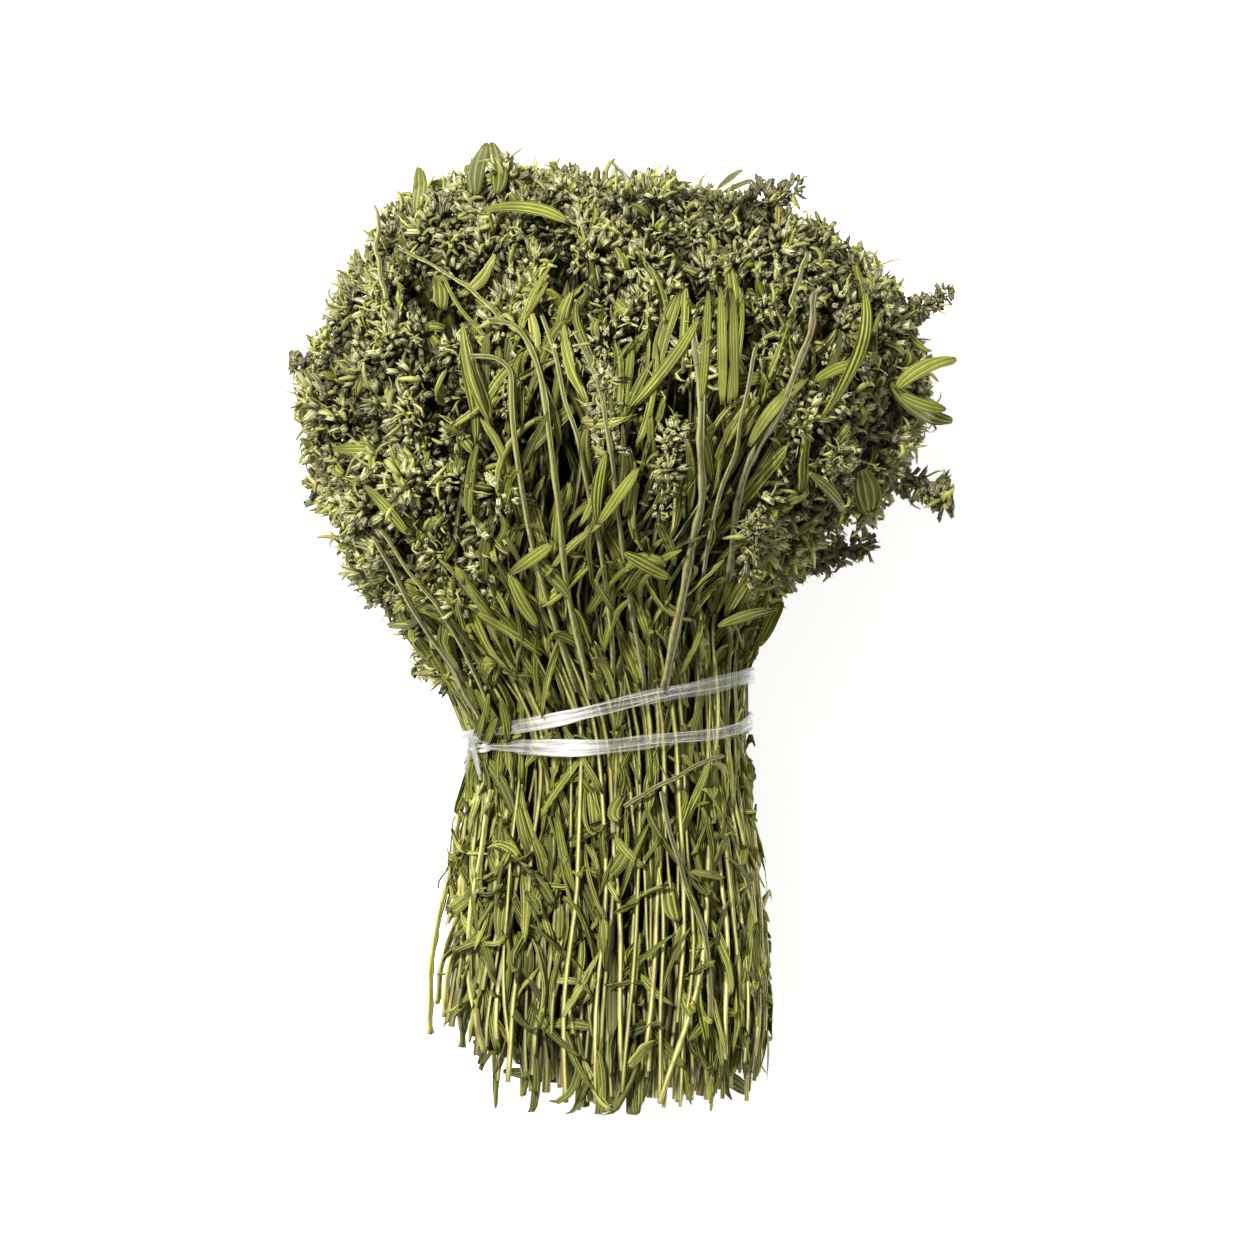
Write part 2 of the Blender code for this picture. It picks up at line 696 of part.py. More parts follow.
def inner_stems(space, plan, rng, collection, material):
    """The packed stems inside the outer sprigs, with their cut ends and the leaves between."""
    owner = "inner_stems"
    rib_step = 2 * math.pi / len(plan)
    ribs_at = plan[0]["waist"] + rib_step / 2
    top_y = CORE_SPLIT_Y - GAP / 2
    body = core_body(CORE_FOOT_Y, top_y, 2 * len(plan), 8, ribs_at, (0.2, 0), collection)
    repeats = new_collection("inner_pieces")
    for n in range(CUT_ENDS):
        reach = math.sqrt((n + 0.5) / CUT_ENDS) * 0.93
        angle = n * GOLDEN_ANGLE
        if reach > 0.8:
            angle = ribs_at + round((angle - ribs_at) / rib_step) * rib_step
            reach = 0.95
        foot = core_middle(-110).lerp(core_surface(angle, -110, 3), reach)
        foot.y = rng.uniform(*CUT_END_Y) - 5 * (1 - reach)
        root = core_middle(-88).lerp(core_surface(angle, -88, -1.5), reach)
        if space.free(owner, [(foot.lerp(root, k / 8), STEM_RADIUS) for k in range(9)], 0.2):
            stem_shape([foot, root], STEM_RADIUS, STEM_RADIUS, repeats)
    for n, angle in enumerate(VALLEY_ANGLES):
        angle = math.radians(angle)
        top = 45 + 12 * (n % 3)
        keys = [core_surface(angle, y, -1.5) for y in (-8, 6)]
        keys += [place(angle, y, 0.62 * core_depth(y)) for y in (22, 40, top)]
        if space.free(owner, [(p, STEM_RADIUS) for p in spline(keys, 30)]):
            stem_shape(spline(keys, 7), STEM_RADIUS, STEM_TIP_RADIUS, repeats)
            space.take(owner, [(p, STEM_RADIUS) for p in spline(keys, 30)])
            for y in (24, 36, 48, top - 3):
                base = place(angle, y, 0.62 * core_depth(y))
                add_leaf(base, outward(angle, y), 1, owner, space, rng, repeats)
    for n in range(INNER_LEAVES):
        angle = n * GOLDEN_ANGLE
        y = -92 + 106 * ((n * 0.618034) % 1)
        heading = 1 if rng.random() < 0.65 else -1
        base = core_surface(angle, y, -1.0)
        add_leaf(base, outward(angle, y), heading, owner, space, rng, repeats)
    return fuse(owner, body, repeats, material, collection)


def add_leaf(base, out, heading, owner, space, rng, repeats):
    """A leaf from the base, turned until it lies clear of the other pieces, if it can."""
    ahead = Vector((0, heading, 0))
    side = ahead.cross(out).normalized()
    for attempt in range(12):
        swing = rng.uniform(-0.9, 0.9)
        along = ahead * math.cos(swing) + side * math.sin(swing) + out * 0.3
        length = LEAF_LENGTH * rng.uniform(0.75, 1.1) * (1 - attempt / 30)
        line = leaf_line(base, along.normalized(), out, length, rng.uniform(0.5, 3.5))
        balls = leaf_balls(line)
        if min(p.z for p, _ in balls) > 1.0 and space.free(owner, balls):
            leaf_shape(line, out, repeats)
            space.take(owner, balls)
            return


# ---------------------------------------------------------------- the bundle


def main():
    rng = random.Random(5)
    bundle = new_collection("thyme_bundle")
    stem_green, flower_grey, clear_twine = (new_material(name) for name in COLOURS)
    space = Space()
    plan = sprig_plan()
    lines = [sprig_lines(sprig) for sprig in plan]
    for sprig, (stem, axis) in zip(plan, lines):
        dense = spline(stem, 6 * len(stem))
        space.take("stem_" + sprig["name"], [(p, STEM_RADIUS) for p in dense])
        space.take("head_" + sprig["name"], head_balls(axis, sprig["radius"]))
    twine_tie(space, bundle, clear_twine)
    take_core(space, "inner_stems", CORE_FOOT_Y, CORE_SPLIT_Y)
    take_core(space, "inner_flowers", CORE_SPLIT_Y, CORE_TOP_Y)
    for sprig, (stem, axis) in zip(plan, lines):
        leafy_stem(sprig, stem, space, rng, bundle, stem_green)
        flower_head(sprig, axis, bundle, flower_grey)
    inner_flowers(space, rng, bundle, flower_grey)
    inner_stems(space, plan, rng, bundle, stem_green)
    centre(bundle)


def centre(bundle):
    """Moves every piece so that the middle of the bundle's box is at X = 0 and Y = 0."""
    bpy.context.view_layer.update()
    graph = bpy.context.evaluated_depsgraph_get()
    corners = [Vector(c) for obj in bundle.objects for c in obj.evaluated_get(graph).bound_box]
    middle = [(min(c[k] for c in corners) + max(c[k] for c in corners)) / 2 for k in (0, 1)]
    for obj in bundle.objects:
        obj.location = (-middle[0], -middle[1], 0)


clear_scene()
SURFACE = make_surface(new_collection("cutters"))
main()
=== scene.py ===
"""Fine pieces of the dried thyme bundle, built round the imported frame.

Every CAD node gets a piece of its own: leafy stems with single ridged leaves, flower heads of
whorls of calyces and bracts, and a fibrous clear tie. More thin stems, leaves and whorls fill the
inside. Lengths in the layout are millimetres in the bundle's own design space, whose Y runs from
the cut ends to the flowers; to_world turns them into metres in the frame.
"""

import math
import random

import bpy
import numpy as np
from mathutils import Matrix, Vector


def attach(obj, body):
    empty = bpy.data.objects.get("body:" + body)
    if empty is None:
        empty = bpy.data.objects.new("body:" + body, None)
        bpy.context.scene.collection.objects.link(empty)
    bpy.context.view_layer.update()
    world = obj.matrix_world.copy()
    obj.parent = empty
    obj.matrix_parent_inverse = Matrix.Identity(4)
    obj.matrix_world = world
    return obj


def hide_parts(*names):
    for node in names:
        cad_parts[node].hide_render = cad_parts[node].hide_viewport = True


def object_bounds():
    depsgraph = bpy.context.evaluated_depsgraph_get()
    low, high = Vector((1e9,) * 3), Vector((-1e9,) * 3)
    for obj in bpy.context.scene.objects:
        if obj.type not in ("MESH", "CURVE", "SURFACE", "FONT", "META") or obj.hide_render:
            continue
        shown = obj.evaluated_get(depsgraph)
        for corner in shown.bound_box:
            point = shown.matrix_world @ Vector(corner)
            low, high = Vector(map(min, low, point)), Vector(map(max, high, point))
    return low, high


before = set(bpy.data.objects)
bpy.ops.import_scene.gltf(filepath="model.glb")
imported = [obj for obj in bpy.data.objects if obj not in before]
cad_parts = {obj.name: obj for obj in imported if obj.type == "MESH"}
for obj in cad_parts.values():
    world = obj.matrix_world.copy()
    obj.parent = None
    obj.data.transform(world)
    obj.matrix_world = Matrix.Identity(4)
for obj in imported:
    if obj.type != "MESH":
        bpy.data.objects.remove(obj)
cad_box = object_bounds()

MM = 0.001
MIDDLE = (-0.5195, 3.9228)  # X and Y of the design space that lie at the frame's origin
EDGE = 0.0015  # metres from a side of the CAD box within which pieces are pressed flat

# ---- the layout, as in the frame

OUTLINE = (  # Y, left, right, low and high edge
    (-125, -46, 35, -1, 60),
    (-98, -49, 38, -1, 62),
    (-62, -44, 36, 3, 62),
    (-25, -42.5, 33, 9, 66),
    (8, -67, 40, 4, 90),
    (35, -81, 67, 0, 112),
    (60, -89, 83, 0, 121),
    (85, -77, 77, 0, 115),
    (108, -61, 54, 10, 97),
    (124, -38, 22, 34, 76),
)
UNDERSIDE_FLATNESS = 0.7
MIDDLE_HEIGHT = 0.48  # share of its height at which the bundle is widest
WAIST_Y, WAIST_DEPTH = -25.0, 3.45
CUT_Y = (-119.0, -98.0)

FLANK_FIRST, FLANK_STEP, FLANK_COUNT = 130, 30, 10
FLANK_Y = (16, 60)
SHOULDER_FRONT, SHOULDER_FRONT_Y = (60, 85, 110), (56, 96)
SHOULDER_Y = (62, 108)
CROWN, CROWN_Y = (72, 98), (98, 121)
CROWN_FROM, CROWN_GIRTH = 90, 0.8  # Y of the foot past which a head is slimmer
UNDERSIDE = (232, 308)
STRAGGLERS = {  # by angle: Y of the head's foot and tip, how far it stands out, and its girth
    10: (13, 34, 17, 0.72),
    340: (12, 47, 5, 0.85),
    355: (58, 88, 15, 0.85),
    160: (28, 64, 4, 0.95),
    310: (18, 60, 0, 0.88),
    40: (20, 60, 0, 1.0),
}
HEAD_RADIUS = 12.5
PRESSED_DEPTH = 6.6
PASSAGE_DEPTH = 19.0
STEM_RADIUS, STEM_ROWS = 1.35, 34
SPREAD_Y, SPREAD_DEPTH = -66, 4.2  # of the stems on their way to the cut ends
PASSAGE_Y = (38, 78)  # where stems of high heads pass below the other flowers
PRESSED_SHARE = 0.25  # of what stands too far out of the outline that stays
WIDEST_SHARE = 0.97  # of the half width, past which the upper side isn't read

# Each turn of the tie: Y of its middle, rise to the right, dip in front, and how far it stands out.
TIE_TURNS = ((-18.9, 8.3, 0.0, 0.0), (-24.7, 2.4, 3.5, 0.5))
# Middle, reach each way and depth of what the tie draws in, and over how far its pull fades.
TIE_Y, TIE_SPAN, TIE_DEPTH, TIE_FADE = -19.5, 16.0, 1.5, 5.0
TWINE_WIDTH = 4.6
KNOT_ANGLE = math.radians(152)
GATHER_ANGLE = math.radians(137)  # where leaves draw the film together
TAIL_TURNS, TAIL_LENGTH = (-0.5, 0.35), 12.0

CORE_DEPTH = ((-96, 12), (-62, 8.6), (-25, 6.8), (0, 10), (18, 19), (38, 28), (84, 30), (112, 25))
FLOWER_END, CUT_END = 117.0, -116.0  # Y of the surface of the two ends
# Y, and the depth below which colours darken there with painted shade; SHADE_SPAN further down they are
# darkest.
SHADE_FROM = ((-118, 0.2), (-90, 0.9), (-40, 1.3), (-30, 3.6), (14, 3.6), (40, 3.6))
SHADE_SPAN = 5.0

# Lowest Y of the flower mass at each angle round the bundle, in degrees: in front it leaves
# a valley of stems and leaves.
FLOWERS_FROM = (
    (0, 18), (30, 17), (46, 26), (58, 48), (70, 64), (88, 66), (101, 70), (108, 38),
    (116, 3), (150, -10), (180, -9), (205, 6), (230, 14), (320, 17), (360, 18),
)

# Edges of the bundle seen from above. TOP_EDGE: X, and the Y of the flowers' top edge there.
# SIDE_EDGE: Y, and the X of their left and right edges. CUT_LINE: X, and the Y of the stems' ends.
TOP_EDGE = (
    (-66, 103), (-60, 113), (-54, 117.5), (-44, 119.5), (-24, 121), (-13, 120), (-8, 115.5),
    (8, 117.5), (17, 116), (32, 112), (42, 108), (53, 105), (58, 100), (63, 92.5), (68, 88),
    (73, 81), (80, 68),
)
SIDE_EDGE = (
    (0, -62, 38), (21, -74, 48), (28, -75.5, 56), (34, -76.5, 68), (41, -82, 77), (53, -82, 81),
    (66, -82, 79), (79, -78, 77), (92, -72.5, 68), (104, -64, 57), (111, -60, 44), (118, -48, 30),
)
CUT_LINE = ((-49, -99), (-39, -103), (-34, -112), (-28, -117), (0, -121), (32, -120.5), (38, -110))

SHADES = ("leaf", "stem", "calyx", "core", "twine")
TURN = 2 * math.pi
ALL_ROUND = (0, TURN)
AHEAD = np.array([0, 1.0, 0])  # along the bundle, towards the flowers
UPWARD = np.array([0, 0, 1.0])
rng = np.random.default_rng(17)
draw = rng.uniform


def unit(v):
    """The vectors at length 1."""
    return v / np.maximum(np.linalg.norm(v, axis=-1, keepdims=True), 1e-9)


def smooth_between(stations, y, column):
    """A smooth curve through one column of the stations, read at every y."""
    table = np.array(stations, float)
    ys, values = table[:, 0], table[:, column]
    y = np.clip(y, ys[0], ys[-1])
    i = np.clip(np.searchsorted(ys, y, side="right") - 1, 0, len(ys) - 2)
    lower = np.maximum(np.arange(len(ys)) - 1, 0)
    upper = np.minimum(np.arange(len(ys)) + 1, len(ys) - 1)
    slope = (values[upper] - values[lower]) / (ys[upper] - ys[lower])
    span = ys[i + 1] - ys[i]
    t = (y - ys[i]) / span
    return (
        (2 * t**3 - 3 * t**2 + 1) * values[i]
        + (t**3 - 2 * t**2 + t) * span * slope[i]
        + (3 * t**2 - 2 * t**3) * values[i + 1]
        + (t**3 - t**2) * span * slope[i + 1]
    )


def straight_between(stations, at, column=1):
    """Straight lines through one column of the stations, read at every place."""
    table = np.array(stations, float)
    return np.interp(at, table[:, 0], table[:, column])


def outline_at(y):
    """Half width, centre, half height below and above the middle, and middle of the outline."""
    left, right, low, high = (smooth_between(OUTLINE, y, k) for k in (1, 2, 3, 4))
    middle = low + (high - low) * MIDDLE_HEIGHT
    return (right - left) / 2, (left + right) / 2, middle - low, high - middle, middle


def place(angle, y, depth):
    """Points at those angles round the bundle (0 right, 90 degrees up), depth below its outline."""
    angle, y, depth = np.broadcast_arrays(*(np.asarray(a, float) for a in (angle, y, depth)))
    half, centre, below, above, middle = outline_at(y)
    lift = np.sin(angle)
    across = np.maximum(half - depth, 0.5)
    rise = np.maximum(np.where(lift > 0, above, below) - depth, 0.5)
    lift = np.where(lift < 0, -(np.abs(lift) ** UNDERSIDE_FLATNESS), lift)
    return np.stack([centre + across * np.cos(angle), y, middle + rise * lift], -1)


def outward(angle, y):
    """Vectors that point out of the bundle there."""
    return unit(place(angle, y, 0) - place(angle, y, 6))


def pressed(points, stand):
    """The points, with what stands more than stand mm out of the outline drawn back towards it.

    Under the tie they are drawn in below its film.
    """
    half, centre, below, above, middle = outline_at(points[..., 1])
    tied = np.clip((TIE_SPAN - np.abs(points[..., 1] - TIE_Y)) / TIE_FADE, 0, 1)
    stand = stand - (stand + TIE_DEPTH) * tied
    x, z = points[..., 0] - centre, points[..., 2] - middle
    lift = np.abs(z) / (np.where(z > 0, above, below) + stand)
    lift = np.where(z < 0, lift ** (1 / UNDERSIDE_FLATNESS), lift)
    size = np.hypot(x / (half + stand), lift)
    drawn = np.where(size > 1, (1 + (size - 1) * PRESSED_SHARE) / np.maximum(size, 1), 1)
    return np.stack([centre + x * drawn, points[..., 1], middle + z * drawn], -1)


def depth_of(points):
    """How deep each point lies below the outline or the two ends of the bundle, in millimetres."""
    half, centre, below, above, middle = outline_at(points[..., 1])
    x, z = (points[..., 0] - centre) / half, points[..., 2] - middle
    rise = np.where(z > 0, above, below)
    size = np.maximum(np.hypot(x, z / rise), 1e-6)
    depth = (1 - size) * (rise + (half - rise) * (x / size) ** 2)
    return np.minimum(depth, np.minimum(FLOWER_END - points[..., 1], points[..., 1] - CUT_END))


def painted_depth_shade(points):
    """Painted shade: 0 at the surface to 1 deep inside."""
    limit = straight_between(SHADE_FROM, points[..., 1])
    return np.clip((depth_of(points) - limit) / SHADE_SPAN, 0, 1)


def over(x, y, lift=0.0):
    """Points lift mm above the outline's upper side at x, y."""
    x, y, lift = np.broadcast_arrays(*(np.asarray(a, float) for a in (x, y, lift)))
    half, centre, _, above, middle = outline_at(y)
    share = np.clip((x - centre) / half, -WIDEST_SHARE, WIDEST_SHARE)
    return np.stack([x, y, middle + above * np.sqrt(1 - share**2) + lift], -1)


def inside(points, reach):
    """The points, moved in until they lie that far within the edges seen from above."""
    x, y, z = np.moveaxis(points, -1, 0)
    y = np.minimum(y, straight_between(TOP_EDGE, x) - reach)
    left, right = (straight_between(SIDE_EDGE, y, k) for k in (1, 2))
    return np.stack([np.clip(x, left + reach, right - reach), y, z], -1)


def cut_line(angle):
    """Y of the stems' ends at each angle round the bundle."""
    half, centre, *_ = outline_at(CUT_END)
    return straight_between(CUT_LINE, centre + half * np.cos(angle))


def spline(keys, count):
    """count points on a smooth curve through the keys."""
    keys = np.array(keys, float)
    last = len(keys) - 1
    u = np.linspace(0, last, count)
    i = np.minimum(u.astype(int), last - 1)
    t = (u - i)[:, None]
    p0, p1, p2, p3 = (keys[np.clip(i + k, 0, last)] for k in (-1, 0, 1, 2))
    return 0.5 * (
        2 * p1
        + (p2 - p0) * t
        + (2 * p0 - 5 * p1 + 4 * p2 - p3) * t**2
        + (3 * p1 - p0 - 3 * p2 + p3) * t**3
    )


def wrapped(angle):
    """The angle, between minus and plus half a turn."""
    return (angle + math.pi) % (TURN) - math.pi


def sprig_plan():
    """Each outer sprig, as a dict, sorted round the bundle, in the order of the CAD nodes."""
    dice = random.Random(11)
    heads = []
    for n in range(FLANK_COUNT):
        angle = (FLANK_FIRST + n * FLANK_STEP) % 360
        heads.append((angle, *FLANK_Y))
        if n + 1 < FLANK_COUNT:
            heads.append(((angle + FLANK_STEP / 2) % 360, *SHOULDER_Y))
    heads += [(angle, *SHOULDER_FRONT_Y) for angle in SHOULDER_FRONT]
    heads += [(angle, *CROWN_Y) for angle in CROWN]
    heads += [(angle, 0, 0) for angle in STRAGGLERS if angle not in [h[0] for h in heads]]
    plan = []
    for angle, foot_y, tip_y in sorted(heads):
        slide = dice.uniform(-2.0, 2.0)
        foot_y, tip_y, stand_out, girth = STRAGGLERS.get(
            angle, (foot_y + slide, tip_y + slide, dice.uniform(-1.0, 1.5), dice.uniform(0.92, 1.0))
        )
        plan.append(dict(
            angle=math.radians(angle), foot_y=foot_y, tip_y=tip_y, stand_out=stand_out,
            radius=HEAD_RADIUS * girth * (CROWN_GIRTH if foot_y > CROWN_FROM else 1),
            pressed=UNDERSIDE[0] < angle < UNDERSIDE[1] and foot_y < 40,
        ))
    first = plan[0]["angle"]
    for n, sprig in enumerate(plan):
        sprig["name"] = f"{n + 1:02d}"
        sprig["waist"] = first + TURN * n / len(plan)
        sprig["cut_y"] = CUT_Y[0] + (CUT_Y[1] - CUT_Y[0]) * abs(math.cos(sprig["waist"])) ** 2
        sprig["cut_y"] += dice.uniform(-5, 4)
        sprig["splay"] = dice.uniform(-0.07, 0.07)
    turn = sum(wrapped(s["angle"] - s["waist"]) for s in plan) / len(plan)
    for sprig in plan:
        sprig["waist"] += turn
    return plan


def sprig_lines(sprig):
    """Points of one sprig's stem, from its cut end, and of its head's axis, up to the tip."""
    waist, foot_y, tip_y = sprig["waist"], sprig["foot_y"], sprig["tip_y"]
    head = sprig["angle"]
    turn = wrapped(head - waist)
    cut = waist + sprig["splay"]
    under = math.sin(waist) < -0.5
    passage = min(PASSAGE_DEPTH, 8 + max(foot_y - 16, 0) * 0.3)
    middle_depth = PRESSED_DEPTH if sprig["pressed"] else sprig["radius"]
    axis = [
        place(head, foot_y, max(middle_depth, 9)),
        place(head, (foot_y + tip_y) / 2, middle_depth),
        place(head, tip_y, middle_depth - 2) + outward(head, tip_y) * sprig["stand_out"],
    ]
    keys = [
        place(cut, sprig["cut_y"], 1.0 if under else 3.0),
        place((cut + waist) / 2, SPREAD_Y, SPREAD_DEPTH),
        place(waist, WAIST_Y - 12, WAIST_DEPTH),
        place(waist, WAIST_Y, WAIST_DEPTH),
        place(waist, WAIST_Y + 14, WAIST_DEPTH + 0.4),
        place(waist + turn * 0.4, min(3, foot_y - 6), 6),
    ]
    if foot_y > 12:
        keys.append(place(waist + turn * 0.9, min(foot_y - 6, 22), passage * 0.88))
    keys += [place(head, y, passage) for y in PASSAGE_Y if foot_y > y + 2]
    keys.append(axis[0] + unit(axis[1] - axis[0]) * 3)
    return spline(keys, STEM_ROWS), spline(axis, 12)


# ---- meshes from many copies


class Gathered:
    """The copies that make up the pieces: each batch holds one kind of shape, in millimetres."""

    def __init__(self):
        self.batches = []

    def add(self, owner, points, faces, look, shade, zone=None):
        """points (copies, vertices, 3); look the same with tint, along and across of each vertex."""
        owner = np.broadcast_to(np.asarray(owner), len(points))
        zone = np.zeros(points.shape[:2]) if zone is None else np.broadcast_to(zone, points.shape[:2])
        self.batches.append((owner, points, faces, look, zone, SHADES.index(shade)))

    def build(self, name, owner, materials):
        """One mesh of all that belongs to the owner, as an object of the scene."""
        points, looks, zones, corners, sizes, shades = ([] for _ in range(6))
        count = 0
        for owners, batch, faces, look, zone, shade in self.batches:
            own = owners == owner
            copies = int(own.sum())
            if not copies:
                continue
            vertices = batch.shape[1]
            points.append(batch[own].reshape(-1, 3))
            looks.append(look[own].reshape(-1, 3))
            zones.append(zone[own].reshape(-1))
            offsets = (np.arange(copies) * vertices)[:, None, None] + count
            for face in faces:
                corners.append((face[None] + offsets).reshape(-1))
                sizes.append(np.full(copies * len(face), face.shape[1]))
                shades.append(np.full(copies * len(face), shade))
            count += copies * vertices
        mesh = bpy.data.meshes.new(name)
        corners, sizes, shades = (np.concatenate(a).astype(np.int32) for a in (corners, sizes, shades))
        mesh.vertices.add(count)
        mesh.vertices.foreach_set("co", to_world(np.concatenate(points)).astype(np.float32).ravel())
        mesh.loops.add(len(corners))
        mesh.loops.foreach_set("vertex_index", corners)
        mesh.polygons.add(len(sizes))
        starts = np.concatenate([[0], np.cumsum(sizes)[:-1]]).astype(np.int32)
        mesh.polygons.foreach_set("loop_start", starts)
        mesh.polygons.foreach_set("loop_total", sizes)
        used = np.unique(shades)
        mesh.polygons.foreach_set("material_index", np.searchsorted(used, shades).astype(np.int32))
        mesh.polygons.foreach_set("use_smooth", np.ones(len(sizes), bool))
        for shade in used:
            mesh.materials.append(materials[SHADES[shade]])
        attribute = mesh.attributes.new("look", "FLOAT_VECTOR", "POINT")
        attribute.data.foreach_set("vector", np.concatenate(looks).astype(np.float32).ravel())
        # deep: painted shade, from 0 at the surface to 1 deep inside the bundle
        deep = painted_depth_shade(np.concatenate(points))
        for kind, values in (("zone", np.concatenate(zones)), ("deep", deep)):
            attribute = mesh.attributes.new(kind, "FLOAT", "POINT")
            attribute.data.foreach_set("value", values.astype(np.float32))
        mesh.update(calc_edges=True)
        mesh.validate()
        return in_scene(name, mesh)


def in_scene(name, data):
    """A new object of the scene."""
    piece = bpy.data.objects.new(name, data)
    bpy.context.scene.collection.objects.link(piece)
    return piece


def to_world(points):
    """Metres in the frame. What would pass a side of the CAD box is pressed back inside it."""
    points = (points - np.array([*MIDDLE, 0])) * MM
    low, high = (np.array(corner) for corner in cad_box)
    points = np.where(points < low + EDGE, low + EDGE * np.exp((points - low) / EDGE - 1), points)
    return np.where(points > high - EDGE, high - EDGE * np.exp((high - points) / EDGE - 1), points)


def looks_of(tint, along, across):
    """The look of every vertex of every copy."""
    tint = np.asarray(tint)[:, None]
    return np.stack(np.broadcast_arrays(tint, along[None], across[None]), -1)


made = Gathered()

# ---- leaves

LEAF_THICKNESS = 0.3
RUFFLES = 1.7  # waves along a leaf's edge


def blade_faces(rows, columns):
    """Quads of a closed blade: an upper grid, and a lower one that shares its rim."""
    upper = np.arange((rows + 1) * (columns + 1)).reshape(rows + 1, columns + 1)
    lower = upper.copy()
    lower[1:-1, 1:-1] = upper.size + np.arange((rows - 1) * (columns - 1)).reshape(rows - 1, -1)
    above, below = (
        np.stack([grid[:-1, :-1], grid[:-1, 1:], grid[1:, 1:], grid[1:, :-1]], -1).reshape(-1, 4)
        for grid in (upper, lower)
    )
    return np.vstack([above, below[:, ::-1]])


def both_sides(upper, lower):
    """Values at a closed blade's vertices, from its upper grid and, inside the rim, its lower one."""
    return np.concatenate(
        [side.reshape(len(side), -1, *side.shape[3:]) for side in (upper, lower[:, 1:-1, 1:-1])], 1
    )


def curved_lines(base, heading, normal, length, bend, hook, rows):
    """Lines that start along their heading and turn towards their normal, and how far they turn."""
    s = np.linspace(0, 1, rows + 1)
    turn = bend * s + hook * s**3
    mid = (turn[:, 1:] + turn[:, :-1]) / 2
    forward = heading[:, None] * np.cos(mid)[..., None] + normal[:, None] * np.sin(mid)[..., None]
    steps = np.cumsum(forward * (length / rows)[..., None], 1)
    return base[:, None] + np.concatenate([np.zeros((len(base), 1, 3)), steps], 1), turn


def add_blades(
    owner, base, heading, normal, length, width, bend, hook, twist, roll, tint, zone,
    rows=8, columns=6, ridge=0.3, sway=0.0, ruffle=0.3, blunt=0.6, stand=None, drape=None,
):
    """Leaves: bend and hook curl a blade towards its normal, roll curls its edges.

    sway bends it sideways, ruffle waves its edges, and stand presses it to the outline. drape is
    how far it follows the rise and fall of the upper side.
    """
    count = len(base)
    heading = unit(heading)
    side = unit(np.cross(heading, normal))
    normal = np.cross(side, heading)
    length, width, bend, hook, twist, roll, sway, ruffle, blunt = (
        np.broadcast_to(np.asarray(a, float), count)[:, None]
        for a in (length, width, bend, hook, twist, roll, sway, ruffle, blunt)
    )
    s = np.linspace(0, 1, rows + 1)
    line, turn = curved_lines(base, heading, normal, length, bend, hook, rows)
    line = line + side[:, None] * (sway * length * s**2)[..., None]
    rise = normal[:, None] * np.cos(turn)[..., None] - heading[:, None] * np.sin(turn)[..., None]
    phi = (twist * s)[..., None]
    across = side[:, None] * np.cos(phi) + rise * np.sin(phi)
    rise = rise * np.cos(phi) - side[:, None] * np.sin(phi)
    form = (s + 0.02) ** 0.6 * (1.02 - s) ** blunt
    half = width / 2 * form / form.max(1, keepdims=True) + 0.12
    u = np.linspace(-1, 1, columns + 1)
    curl = np.where(np.abs(roll) < 0.05, 0.05, roll)[..., None]
    angle = curl * u
    x = np.sin(angle) / curl
    z = (1 - np.cos(angle)) / curl
    parity = np.where(np.arange(columns + 1) % 2 == 0, 1.0, -1.0)
    folds = ridge * parity * (half / 2.2)[..., None]
    phase = draw(0, TURN, (count, 2, 1))
    waves = np.sin(TURN * RUFFLES * s + phase)
    edges = np.stack([np.maximum(-u, 0), np.maximum(u, 0)]) ** 1.5
    folds = folds + ruffle[..., None] * np.einsum("cpr,pu->cru", waves, edges)

    def surface(lift):
        return (
            line[:, :, None]
            + across[:, :, None] * (half[..., None] * x)[..., None]
            + rise[:, :, None] * (half[..., None] * z + folds + lift)[..., None]
        )

    points = both_sides(surface(LEAF_THICKNESS / 2), surface(-LEAF_THICKNESS / 2))
    if stand is not None:
        points = inside(pressed(points, stand), -1.0)
    if drape is not None:
        rise = over(points[..., 0], points[..., 1]) - over(base[:, 0], base[:, 1])[:, None]
        points[..., 2] += rise[..., 2] * drape[:, None]
    grids = np.array(np.meshgrid(s, math.pi * np.arange(columns + 1), indexing="ij"))
    along, across = both_sides(grids, grids)
    zone = np.broadcast_to(np.asarray(zone)[:, None], points.shape[:2])
    made.add(owner, points, [blade_faces(rows, columns)], looks_of(tint, along, across), "leaf", zone)


def add_curls(owner, base, heading, length, width, bend, hook, tint, zone):
    """Narrow curled bracts of three sides, tapering to a point."""
    count = len(base)
    heading = unit(heading)
    normal = unit(np.cross(heading, rng.normal(size=(count, 3))))
    length, bend, hook = (np.asarray(a)[:, None] for a in (length, bend, hook))
    paths, _ = curved_lines(base, heading, normal, length, bend, hook, 4)
    girth = width[:, None] / 2 * np.array([0.6, 1.0, 1.0, 0.8, 0.35])
    spin = draw(0, math.pi, (count, 1))
    add_tubes(
        owner, paths, girth, tint, shade="leaf", sides=3, square=0.0, zone=zone[:, None, None],
        flatness=0.45, spin=spin, swell=0.0,
    )


# ---- calyces

CALYX_SIDES = 4


def calyx_template():
    """A toothed cup: base, belly, a ring of notches, the tooth tips and a deep middle."""
    ring = np.arange(CALYX_SIDES)
    after = (ring + 1) % CALYX_SIDES
    belly, notch, tip = (1 + CALYX_SIDES * k for k in range(3))
    base, middle = np.zeros(CALYX_SIDES, int), np.full(CALYX_SIDES, 1 + 3 * CALYX_SIDES)
    triangles = [
        np.stack(corners, -1)
        for corners in (
            (base, belly + after, belly + ring),
            (notch + ring, notch + after, tip + ring),
            (notch + ring, tip + ring, middle),
            (tip + ring, notch + after, middle),
        )
    ]
    quads = np.stack([belly + ring, belly + after, notch + after, notch + ring], -1)
    return [np.vstack(triangles), quads]


